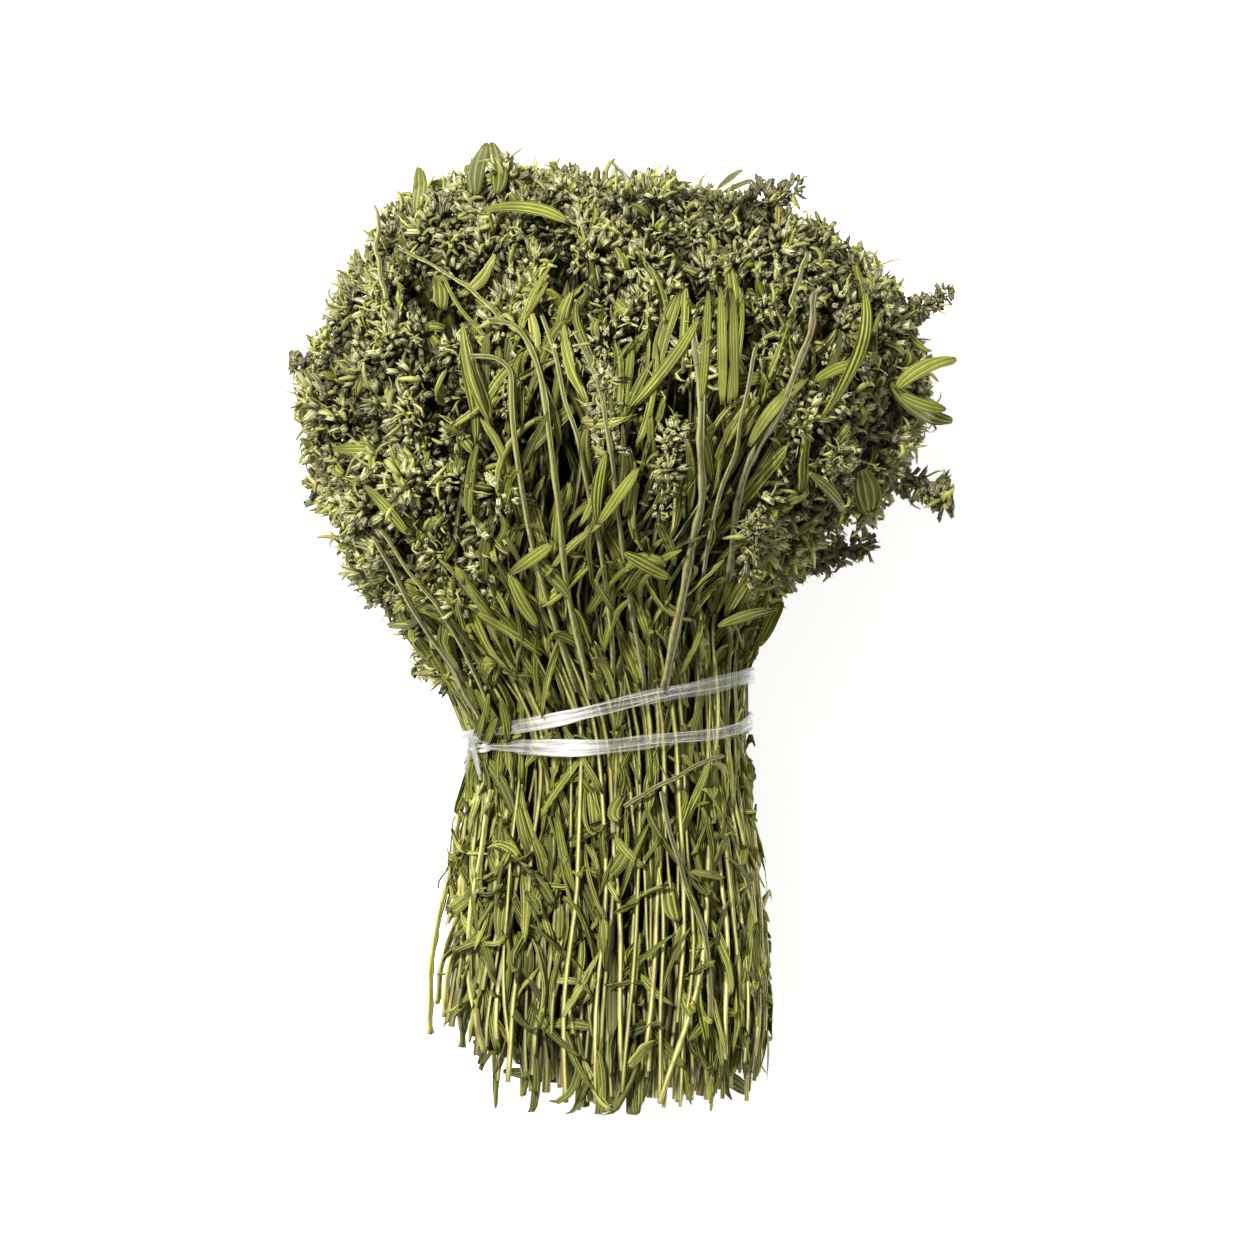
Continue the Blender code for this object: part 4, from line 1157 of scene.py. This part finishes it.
def leaf_batch(owner, base, along, out, kind):
    """Leaves at their bases. kind holds ranges: length, width, out-lean, swing, bend, tint, zone."""
    n = len(base)
    side = unit(np.cross(along, out))
    swing = rng.normal(0, kind["swing"], n)[:, None]
    lean = draw(*kind["lean"], n)[:, None]
    values = {
        "base": base,
        "heading": unit(along * np.cos(swing) + side * np.sin(swing) + out * lean),
        "normal": unit(out + rng.normal(size=(n, 3)) * 0.55),
        "length": draw(*kind["length"], n),
        "width": draw(*kind["width"], n),
        "bend": draw(*kind["bend"], n),
        "hook": draw(-1.4, 2.0, n) * (draw(size=n) < 0.7),
        "twist": rng.normal(0, kind["swing"] + 0.4, n),
        "roll": draw(0.4, 1.9, n) * rng.choice([-1, 1], n, p=[0.55, 0.45]),
        "tint": np.clip(rng.normal(kind["tint"], 0.28, n), 0, 1),
        "zone": draw(*kind["zone"], n),
        "sway": draw(-0.28, 0.28, n),
        "ruffle": draw(0.1, 0.5, n),
        "blunt": draw(0.35, 0.85, n),
    }
    owner = np.broadcast_to(owner, n)
    seen = out[:, 2] > -0.15
    for chosen, rows, columns in ((seen, 8, 6), (~seen, 6, 4)):
        if chosen.any():
            add_blades(
                owner[chosen], rows=rows, columns=columns, stand=kind["stand"],
                **{key: value[chosen] for key, value in values.items()},
            )


SHEAF_LEAVES = {
    "length": (13, 27), "width": (1.8, 3.6), "lean": (-0.06, 0.16), "swing": 0.3,
    "bend": (-0.9, 0.8), "tint": 0.45, "zone": (0.0, 0.3), "stand": 0.8,
}
LOOSE_LEAVES = {
    "length": (9, 16), "width": (2.4, 4.8), "lean": (-0.05, 0.3), "swing": 0.9,
    "bend": (-2.2, 1.8), "tint": 0.54, "zone": (0.0, 0.3), "stand": 1.8,
}
VALLEY_LEAVES = {
    "length": (15, 28), "width": (2.0, 4.2), "lean": (-0.16, 0.14), "swing": 0.28,
    "bend": (-0.9, 0.8), "tint": 0.53, "zone": (0.0, 0.35), "stand": 0.6,
}
FLOWER_LEAVES = {
    "length": (10, 19), "width": (2.4, 4.6), "lean": (-0.1, 0.25), "swing": 0.8,
    "bend": (-2.2, 1.6), "tint": 0.55, "zone": (0.1, 0.6), "stand": 1.0,
}
VALLEY_SPAN = (math.radians(52), math.radians(116))


def surface_leaves(owner, count, angles, ys, depths, kind, upright, thinning=1.0):
    """Leaves spread over a zone of the surface.

    upright is the share that points to the flowers, and thinning over 1 leaves fewer of them
    towards the cut ends.
    """
    angle = draw(*angles, count)
    y = ys[1] - (ys[1] - ys[0]) * draw(0, 1, count) ** thinning
    y = np.maximum(y, cut_line(angle) + CUT_SPARE[0] + CUT_SPARE[1] * np.cos(angle) ** 2)
    depth = draw(*depths, count)
    base = drawn_in(place(angle, y, depth))
    sign = np.where(draw(size=count) < upright, 1.0, -1.0)
    ahead = unit(drawn_in(place(angle, y + 4 * sign, depth)) - base)
    leaf_batch(owner, base, ahead, outward(angle, y), kind)


def stem_leaves(paths, ys, per_stem, kind, upright):
    """Leaves that grow on the outer stems, which own them."""
    for n, path in enumerate(paths):
        y = draw(max(ys[0], path[0, 1] + 6), min(ys[1], path[-1, 1] - 4), per_stem)
        index = np.clip(np.searchsorted(path[:, 1], y), 1, len(path) - 1)
        base = path[index]
        sign = np.where(draw(size=(per_stem, 1)) < upright, 1.0, -1.0)
        along = unit(base - path[index - 1]) * sign
        out = outward(np.full(per_stem, PLAN[n]["waist"]), y)
        leaf_batch(STEM_OWNER[n], drawn_in(base + out * 0.6), along, out, kind)


# ---- single leaves, stems and spikes

# Leaves that stand out singly. Each: X, Y and lift of its base over the upper side, heading in
# degrees in plan, climb, length, width, bend, hook, twist, roll, sway and tint.
SINGLE_LEAVES = (
    (-36.6, 110, -2, 102, 0, 14.5, 7.4, 0.1, -0.5, 0.2, -1.5, 0.32, 0.22),
    (-31.4, 110, -2, 78, 0, 14.5, 7.4, 0.1, -0.5, -0.2, -1.5, -0.32, 0.28),
    (-52, 105.5, -1, 84, 0, 13.5, 5.6, 0, 0.3, 0.3, -1.5, -0.1, 0.45),
    (-13.5, 101.5, 3, 143, 0.2, 20, 4.8, -0.3, -0.5, 0.5, -1.3, -0.5, 0.66),
    (24, 112.5, -12, 44, 0.2, 9.5, 1.7, -0.3, 0.2, 0.2, 0.9, 0, 0.42),
    (25.5, 111.5, -12, 28, 0.2, 9, 1.6, 0.2, 0.1, 0.2, 0.9, 0, 0.42),
    (21, 84, 3, 268, 0, 27, 2.6, 0.1, -0.1, 0.1, -1.1, 0.03, 0.5),
    (24, 85, 3, 272, 0, 29, 2.8, 0.1, -0.1, -0.1, -1.1, 0.02, 0.66),
    (27, 84, 3, 270, 0, 27, 2.6, 0.1, 0, 0.1, 1, -0.02, 0.42),
    (29.5, 82, 2, 264, 0, 26, 2.6, 0.1, 0, 0.1, -1.1, 0.03, 0.56),
    (18.5, 77, 3, 242, 0, 28, 3.8, -0.1, -0.3, 0.5, -1.2, 0.16, 0.7),
    (60, 84.5, 4, 282, 0, 29, 5.2, 0.1, -0.2, 1.1, -1.2, 0.62, 0.66),
    (47, 62, 4, 40, 0, 13, 4, 0.1, -0.6, 0.6, -1.3, 0.3, 0.66),
    (31, 46, 3, 66, 0, 22, 4.2, 0, -0.6, 0.4, -1.3, 0.28, 0.66),
    (46, 40, 2, 330, 0, 14, 3.8, 0, -0.8, 0.5, -1.3, 0.2, 0.58),
    (68, 61, -5, 52, 0.35, 17, 5.6, -0.5, -0.9, 0.3, -1.3, 0.42, 0.62),
    (67, 63, -6, 308, 0.3, 19, 6.4, -0.4, -0.9, 0.3, -1.3, -0.42, 0.68),
    (69, 60, -4, 330, 0.3, 13, 4.2, -0.4, -0.9, 0.3, -1.3, -0.2, 0.4),
    (59.5, 41.5, -2, 284, 0, 11.5, 7.4, -0.4, 0, 0.2, 0.8, 0.05, 0),
    (-72, 46, 2, 4, 0, 13, 3.8, 0, -0.3, 0.3, -1, 0.1, 0.62),
    (-64, 37, 2, 318, 0, 16, 3.6, 0, -0.3, 0.5, -1.2, 0.1, 0.58),
    (-6, 27, 2, 55, 0, 17, 3.8, -0.1, -0.2, 0.5, -1.3, 0, 0.66),
    (12, 14, 2, 158, 0, 13, 4.4, -0.1, -0.2, 0.5, -1.3, 0.1, 0.56),
    (-4, 44, 2, 252, 0, 17, 3.8, -0.1, -0.3, 0.6, -1.3, -0.2, 0.62),
    (-28, 15, 2, 35, 0, 13, 4.2, -0.1, -0.2, 0.3, -1.3, 0, 0.6),
    (-21, 2, 2, 130, 0, 15, 4.4, -0.1, -0.4, 0.5, -1.3, 0.2, 0.62),
    (24, 2, 2, 28, 0, 16, 4, -0.1, -0.4, 0.6, -1.4, 0.2, 0.64),
    (35, -3, 0, 62, 0, 13, 4, -0.3, 0.2, 0.3, 1.2, 0, 0.66),
    (-40, -12, 0, 290, 0.1, 13, 2.6, -0.4, -0.4, 0.4, -1, 0.1, 0.5),
    (-37.5, -14, 0, 300, 0.1, 14, 2.8, -0.3, -0.5, -0.4, 1, -0.1, 0.4),
    (-34, -15, 1, 262, 0.1, 13, 2.6, -0.3, -0.6, 0.5, -1.2, 0.1, 0.56),
    (-31, -16, 1, 285, 0.1, 12, 3, -0.3, -0.4, 0.3, -1.2, 0.1, 0.46),
    (-35.5, -20, 1, 250, 0.15, 11, 2.6, -0.5, -0.8, 0.3, 1.2, -0.1, 0.6),
    (-32, -21, 1, 240, 0.15, 10, 2.6, -0.5, -0.8, 0.3, 1.2, -0.1, 0.5),
    (-59.5, 15, -8, 205, 0, 11, 3.8, -0.2, -0.6, 0.4, -1.3, 0.4, 0.45),
    (-51.5, 4, -8, 214, 0, 9, 3.2, -0.2, -0.6, 0.4, -1.3, 0.4, 0.5),
    (-46, -5, -8, 226, 0, 8, 2.8, -0.2, -0.6, 0.4, -1.3, 0.3, 0.4),
    (-37.5, -30, -5, 248, 0, 13, 4.2, -0.2, -0.4, 0.3, -1.3, -0.3, 0.5),
    (-38.5, -31, -9, 258, 0, 16, 3.8, -0.2, 0.4, 0.4, 1.3, 0.1, 0.35),
    (-37.5, -36, -7, 244, 0, 12, 3.6, -0.2, -0.3, 0.3, -1.2, -0.3, 0.62),
    (-31, -113.5, -22, 356, 0, 22, 4.6, 0.2, 0.1, 0.8, -1.2, -0.04, 0.22),
    (-10, -117, -20, 268, -0.1, 8, 5, 0.3, 0, 0.3, -1.4, 0, 0.3),
    (22, -113, -20, 342, 0, 13, 5, 0.2, 0.1, 0.4, -1.2, 0.25, 0.2),
    (-28, -104, -14, 200, 0, 11, 4.6, 0.3, 0.2, 0.4, 1.2, 0.2, 0.2),
)

# Stems that show singly in front: X, Y and lift of their keys, then the radius and the age, 0
# straw-coloured to 1 grey-brown.
SINGLE_STEMS = (
    (((-37, 68, 1), (-30, 67, 3), (-27, 60, 2), (-25, 40, 0), (-20, 14, -1), (-12, -14, -2)), 0.68, 0.55),
    (((-33, 77, 1), (-26, 75, 3), (-21, 66, 2), (-17, 40, 0), (-13, 12, -1), (-8, -16, -2)), 0.68, 0.66),
    (((-20, 78, 0), (-14, 60, 1), (-10, 44, -1), (-5, 16, -1), (-2, -12, -3)), 0.6, 0.78),
    (((-11, 74, 0), (-5, 56, 0), (-2, 38, -1), (2, 12, -2), (5, -14, -3)), 0.55, 0.6),
    (((17, 74, 2), (19, 56, 2), (20, 36, 0), (16, 16, -1), (10, -14, -2)), 0.92, 0.95),
    (((33, 70, 2), (29, 52, 2), (24, 34, 0), (20, 12, -2)), 0.55, 0.6),
    (((48, 84, 2), (45, 72, 2), (38, 54, 1), (31, 40, -1), (26, 14, -3)), 0.79, 0.95),
    (((45, 94, 3), (42.5, 84, 4), (41, 78, 1)), 0.58, 0.8),
    (((-62, 24, 0), (-52, 6, 2), (-43, -10, 1), (-36, -22, 0)), 0.65, 0.95),
    (((-60, 26, 0), (-49, 10, 2), (-40, -4, 1), (-33, -20, -1)), 0.50, 0.75),
    (((-53, 95, 2), (-42, 88, 4), (-32, 80, 3), (-26, 74, 1)), 0.43, 0.45),
    (((-63, 109, -2), (-61, 96, 2), (-59, 83, 1)), 0.58, 0.45),
    (((26, -31, 1), (16, -35, 3), (8, -39, 3), (1, -44, 1)), 0.54, 1.0),
    (((10, -40, 2), (13, -52, 3), (17, -66, 2), (22, -84, 1), (23, -98, 0)), 0.65, 0.98),
    (((-43, -47, -8), (-45, -56, -8), (-47.5, -66, -8)), 0.22, 0.95),
    (((-37, -34, -6), (-42.7, -49, -7), (-47.5, -72, -7), (-49.6, -88, -8), (-49.8, -104, -10)), 0.62, 0.1),
    (((-36, -40, -4), (-40.2, -52, -4), (-43, -74, -5), (-46, -99.5, -8)), 0.7, 0.05),
    (((-33, -40, -1), (-37, -60, -2), (-40.2, -84, -3), (-37, -98, -3), (-35.5, -107, -4)), 0.8, 0.15),
    (((-35, -38, -2), (-40, -50, -3), (-41.8, -83, -6), (-41.2, -107, -9)), 0.66, 0.3),
    (((-34, -42, -8), (-40, -60, -12), (-45, -80, -16), (-49, -97, -20)), 0.6, 0.4),
    (((-39, -110, -30), (-34, -108, -24), (-26, -104, -18)), 0.50, 1.0),
    (((-42, -103, -28), (-36, -97, -22), (-30, -92, -14)), 0.36, 1.0),
)

# Small pointed heads on stalks of their own: from, to, the height of the tip, or None on the upper
# side, and the radius.
SPIKE_LENGTH, SPIKE_WHORLS, SPIKE_ROWS = 22.0, 7, 14
HIGH_SPIKE_FROM = 62  # Y of the tip past which a spike belongs to the upper flowers
SPIKES = (
    ((12, 98), (46, 114), 72, 4.6),
    ((68, 78.5), (83.6, 87), 70, 2.8),
    ((64, 44), (83.8, 33.4), 62, 3.6),
    ((46, 18.5), (64.5, 23.8), 48, 3.4),
    ((-70, 62), (-84, 70), 58, 3.2),
    ((-66, 30), (-80, 40), 50, 3.4),
    ((7, 18), (13, 52), None, 4.2),
    ((30, 8), (33, 30), None, 3.4),
    ((44, 52), (40, 78), None, 6),
    ((-4, 46), (-5, 66), None, 4.6),
)


SINGLE_ROWS = 24
DRAPED_SHARE = 0.82  # of the half width, within which single leaves follow the upper side


def single_leaves():
    """The leaves that show singly, larger and of finer form than the others."""
    table = np.array(SINGLE_LEAVES)
    turn = np.radians(table[:, 3])
    heading = np.stack([np.cos(turn), np.sin(turn), table[:, 4]], -1)
    length, width, bend, hook, twist, roll, sway, tint = table[:, 5:].T
    base = over(*table[:, :3].T)
    half, centre, *_ = outline_at(table[:, 1])
    drape = np.abs(table[:, 0] - centre) / half < DRAPED_SHARE
    owner = np.where(table[:, 1] < WAIST_Y, SHEAF, INNER_LEAVES)
    add_blades(
        owner, base, heading, UPWARD, length, width, bend, hook, twist, roll, tint,
        np.full(len(table), 0.05), rows=12, columns=8, ridge=0.45, sway=sway, blunt=0.5, drape=drape,
    )


def single_stems():
    """The stems that show singly, a little thicker towards their last key."""
    for keys, radius, age in SINGLE_STEMS:
        path = spline(over(*np.array(keys, float).T), SINGLE_ROWS)[None]
        owner = SHEAF if keys[0][1] < WAIST_Y else INNER_LEAVES
        add_tubes(
            [owner], ripple(path, 0.5), radius * np.linspace(0.85, 1.1, SINGLE_ROWS), draw(0, 1, 1),
            sides=8, square=0.16, zone=age, swell=0.35,
        )


def spike_whorls():
    """Whorls along each spike, whose stalk runs back into the bundle."""
    found = []
    for (x0, y0), (x1, y1), height, radius in SPIKES:
        if height is None:
            foot, tip = over([x0, x1], [y0, y1], [-5.0, -1.0])
            out = UPWARD
        else:
            foot, tip = np.array([x0, y0, height - 6.0]), np.array([x1, y1, height])
            out = UPWARD * 0.35
        heading = unit(tip - foot)
        owner = HIGH_FLOWERS if y1 > HIGH_SPIKE_FROM else LOW_FLOWERS
        for step in np.linspace(0, 1, SPIKE_WHORLS):
            centre = tip - heading * (radius * 0.7 + SPIKE_LENGTH * (1 - step))
            found.append((centre, radius * (1.0 - 0.45 * step), heading, out, owner))
        stalk = [foot, tip - heading * SPIKE_LENGTH * 0.5, tip - heading * radius]
        add_tubes([INNER_LEAVES], spline(stalk, SPIKE_ROWS)[None], 0.6, [0.7], zone=0.9)
    return found


# ---- the core

CORE_ROWS, CORE_SIDES = 78, 100
CORE_Y = (-92, 109)
CORE_FLOWERS_Y = 5  # from where it swells out to fill the flower mass
CORE_ROUNDED_Y = 98  # from where its end is rounded


def core_piece():
    """A rumpled dark body deep inside, which closes the view between the stems and whorls; its darkness is
    painted shade.
    """
    y = np.linspace(*CORE_Y, CORE_ROWS)[:, None]
    angle = TURN * np.arange(CORE_SIDES) / CORE_SIDES
    depth = smooth_between(CORE_DEPTH, y, 1)
    depth = np.where(y < CORE_FLOWERS_Y, depth + 1.0, np.minimum(depth, 18.5) - 1.0)
    depth = depth + 0.13 * np.maximum(y - CORE_ROUNDED_Y, 0) ** 2
    points = place(angle, y, depth + rng.normal(0, 1.1, (CORE_ROWS, CORE_SIDES))).reshape(1, -1, 3)
    made.add(INNER_LEAVES, points, tube_faces(CORE_ROWS, CORE_SIDES), np.zeros(points.shape), "core")


# ---- the tie

FILM_ROWS, FILM_COLUMNS, FILM_THICKNESS = 140, 12, 0.14
# Shares of a turn where the film is whitest, a painted highlight, and how far each reaches.
FILM_HIGHLIGHTS = ((0.87, 0.05), (0.04, 0.045), (0.985, 0.02), (0.60, 0.05))
FIBRE_ROWS, FIBRES = 100, 2  # on each turn
KNOT_LOOPS, TAIL_STRANDS = 9, 5


def turn_y(angle, turn):
    """Y of the middle of a turn of the tie."""
    middle, rise, dip, _ = TIE_TURNS[turn]
    return middle + rise * np.cos(angle) - dip * np.maximum(np.sin(angle), 0)


def film_turns():
    """Each turn as a band of thin film, folded lengthwise, and gathered near the knot."""
    angle = KNOT_ANGLE + np.linspace(*ALL_ROUND, FILM_ROWS + 1)[:, None]
    across = np.linspace(-0.5, 0.5, FILM_COLUMNS + 1)
    grids = np.array(np.meshgrid(np.linspace(0, 1, FILM_ROWS + 1), across, indexing="ij"))
    s, v = both_sides(grids, grids)
    # near: how much painted highlight the film carries there, passed on as zone.
    near = np.max([1 - np.abs(s - middle) / spread for middle, spread in FILM_HIGHLIGHTS], 0)
    gather = np.abs(wrapped(angle - GATHER_ANGLE))
    for turn, (*_, stand) in enumerate(TIE_TURNS):
        width = TWINE_WIDTH * np.clip(gather / 0.2, 0.42, 1)
        width = width * (0.82 + 0.14 * np.sin(3 * angle + 2 * turn) + 0.06 * np.sin(11 * angle))
        y = turn_y(angle, turn) + across * width + 0.25 * np.sin(6 * angle + turn)
        folds = 0.3 * np.sin(15 * across + 2.5 * np.sin(2 * angle))
        depth = 0.2 - stand + (folds + 0.16 * np.sin(31 * across + 5 * angle))
        points = both_sides(*(place(angle, y, depth + k)[None] for k in (0, FILM_THICKNESS)))
        look = looks_of([0.3 + 0.4 * turn], s, v)
        faces = [blade_faces(FILM_ROWS, FILM_COLUMNS)]
        made.add([TIE], points, faces, look, "twine", np.clip(near, 0, 1))


def add_strands(paths, radius, sides, flatness, zone):
    """Flat strands of film along the paths."""
    add_tubes(
        [TIE] * len(paths), np.array(paths), radius, draw(0, 1, len(paths)), shade="twine",
        sides=sides, square=0.0, flatness=flatness, swell=0.0, zone=zone,
    )


def film_fibres():
    """Fibres split off the film, lying on its turns."""
    angle = KNOT_ANGLE + np.linspace(*ALL_ROUND, FIBRE_ROWS)
    gather = np.clip(np.abs(wrapped(angle - KNOT_ANGLE)) / 0.5, 0.25, 1)
    paths, sizes = [], []
    for turn, (*_, stand) in enumerate(TIE_TURNS):
        for k in range(FIBRES):
            offset = ((k + 0.5) / FIBRES - 0.5) * TWINE_WIDTH * 0.95
            wander = sum(np.sin(w * angle + draw(0, 6.28)) * 0.5 / w**0.5 for w in (2, 5, 9))
            y = turn_y(angle, turn) + (offset + wander) * gather
            paths.append(place(angle, y, -stand - 0.15 + 0.25 * np.sin(7 * angle + k)))
            sizes.append(0.08 + 0.04 * np.sin(4 * angle + draw(0, 6.28)))
    add_strands(paths, sizes, 4, 0.6, 0.7)


def knot_and_tails():
    """Loops of film drawn tight round each other, and the two ends, split into fibres."""
    centre = place(KNOT_ANGLE, turn_y(KNOT_ANGLE, 0), -0.4)
    out = outward(KNOT_ANGLE, WAIST_Y)
    down = -AHEAD
    side = np.cross(out, down)
    t = np.linspace(*ALL_ROUND, 40)[:, None]
    loops = []
    for k in range(KNOT_LOOPS):
        tilt = k * 0.7
        a = side * math.cos(tilt) + down * math.sin(tilt)
        b = unit(out * 0.9 + (down * math.cos(tilt) - side * math.sin(tilt)) * 0.5)
        loops.append(
            centre - out * 0.2
            + a * np.cos(t) * draw(1.3, 2.0)
            + b * np.sin(t) * draw(0.9, 1.5)
        )
    add_strands(loops, 0.5, 6, 0.5, 0.25)

    t = np.linspace(0, 1, 20)[:, None]
    tails = []
    for turn in TAIL_TURNS:
        heading = down * math.cos(turn) + side * math.sin(turn)
        across = np.cross(out, heading)
        for k in range(TAIL_STRANDS):
            spread = (k - 2) * 0.42 * (0.4 + 0.9 * t)
            reach = TAIL_LENGTH * draw(0.85, 1.0)
            lift = out * (0.9 + 0.5 * np.sin(5 * t + k) * t - 0.8 * t)
            tails.append(centre + heading * t * reach + across * spread + lift)
    add_strands(tails, 0.4, 6, 0.35, 0.1)


# ---- everything together

outer = outer_whorls()
inner = inner_whorls(outer)
fill_whorls(outer, CUPS, CURLS)
fill_whorls(inner, CUPS, CURLS)
fill_whorls(spike_whorls(), SPIKE_CUPS, SPIKE_CURLS, SPIKE_TONE)
clutter()
stem_paths = many_stems()
stem_leaves(stem_paths, (-96, -30), 13, SHEAF_LEAVES, 0.35)
stem_leaves(stem_paths, (-18, 40), 7, VALLEY_LEAVES, 0.9)
surface_leaves(SHEAF, 540, ALL_ROUND, (-110, -30), (0.8, 6.0), SHEAF_LEAVES, 0.5, 0.9)
surface_leaves(SHEAF, 190, ALL_ROUND, (-104, -30), (0.3, 3.5), LOOSE_LEAVES, 0.4)
surface_leaves(INNER_LEAVES, 410, ALL_ROUND, (-22, 12), (1.2, 7.0), VALLEY_LEAVES, 0.82)
surface_leaves(INNER_LEAVES, 250, VALLEY_SPAN, (0, 72), (1.0, 12.0), VALLEY_LEAVES, 0.92)
surface_leaves(INNER_LEAVES, 110, ALL_ROUND, (10, 94), (2.0, 8.0), FLOWER_LEAVES, 0.7)
single_leaves()
single_stems()
packed_ends()
core_piece()
film_turns()
film_fibres()
knot_and_tails()

MATERIALS = {
    "leaf": leaf_material(),
    "stem": stem_material(),
    "calyx": calyx_material(),
    "core": core_material(),
    "twine": twine_material(),
}

pieces = []
for n, sprig in enumerate(PLAN):
    for owner, kind in ((STEM_OWNER[n], "leafy_stem"), (HEAD_OWNER[n], "flower_head")):
        piece = made.build(f"fine_{kind}_{sprig['name']}", owner, MATERIALS)
        pieces.append((piece, kind, [f"{kind}_{sprig['name']}"]))
for name, owner, slot, nodes in (
    ("fine_inner_stems", SHEAF, "leafy_stem", ["inner_stems"]),
    ("fine_inner_leaves", INNER_LEAVES, "leafy_stem", []),
    ("fine_inner_flowers", LOW_FLOWERS, "flower_head", ["inner_flowers"]),
    ("fine_upper_flowers", HIGH_FLOWERS, "flower_head", []),
    ("fine_twine_tie", TIE, "twine", ["twine_tie"]),
):
    pieces.append((made.build(name, owner, MATERIALS), slot, nodes))
for piece, slot, nodes in pieces:
    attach(piece, "root")
    if nodes:
        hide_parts(*nodes)

# ---- floor, light and camera

VIEW_WIDTH = 0.3198  # metres that the picture's width covers at the bundle's middle height
VIEW_HEIGHT = 1.35  # of the camera above that
VIEW_MIDDLE = (1.15, 1.9)  # X and Y in the design space
MIDDLE_Z = 0.058  # the bundle's middle height, in metres
SENSOR = 36.0
FLOOR_REACH = 6.0
FLOOR_COLOURS = (0.90, 0.90, 0.895, 1), (0.93, 0.93, 0.925, 1)
FLOOR_GLOW = 0.68  # of the white table: a glow that is painted light, which keeps the shadow on it faint
LIGHT_TARGET = (0, 0, 0.03)
WORLD_LIGHT = 0.36


def floor():
    """The pale table top, glowing a little: painted light."""
    mesh = bpy.data.meshes.new("floor")
    corners = [(x * FLOOR_REACH, y * FLOOR_REACH, 0) for x, y in ((-1, -1), (1, -1), (1, 1), (-1, 1))]
    mesh.from_pydata(corners, [], [(0, 1, 2, 3)])
    m = Shading("floor")
    feed(m.shader, {
        "Base Color": m.mix(m.noise(3.0, 1.0), *FLOOR_COLOURS),
        "Roughness": 0.9,
        "Emission Color": (1, 1, 1, 1),
        "Emission Strength": FLOOR_GLOW,
    })
    mesh.materials.append(m.material)
    in_scene("floor", mesh)


def area_light(name, location, size, power):
    """A round soft light, aimed at the bundle."""
    light = bpy.data.lights.new(name, "AREA")
    light.shape = "DISK"
    light.size = size
    light.energy = power
    lamp = in_scene(name, light)
    lamp.location = location
    lamp.rotation_mode = "QUATERNION"
    lamp.rotation_quaternion = (Vector(LIGHT_TARGET) - Vector(location)).to_track_quat("-Z", "Y")


def camera():
    """A camera straight above the bundle."""
    data = bpy.data.cameras.new("camera")
    data.sensor_width = SENSOR
    data.lens = SENSOR * VIEW_HEIGHT / VIEW_WIDTH
    data.clip_end = 50
    piece = in_scene("camera", data)
    x, y = ((where - middle) * MM for where, middle in zip(VIEW_MIDDLE, MIDDLE))
    piece.location = (x, y, MIDDLE_Z + VIEW_HEIGHT)
    bpy.context.scene.camera = piece


floor()
area_light("key", (-0.95, 0.85, 2.2), 0.35, 98)
area_light("fill", (0.7, -0.3, 2.2), 1.6, 5)
world = bpy.data.worlds.new("studio")
world.use_nodes = True
world.node_tree.nodes["Background"].inputs[0].default_value = (1, 1, 1, 1)
world.node_tree.nodes["Background"].inputs[1].default_value = WORLD_LIGHT
bpy.context.scene.world = world
bpy.context.scene.view_settings.view_transform = "Standard"
camera()
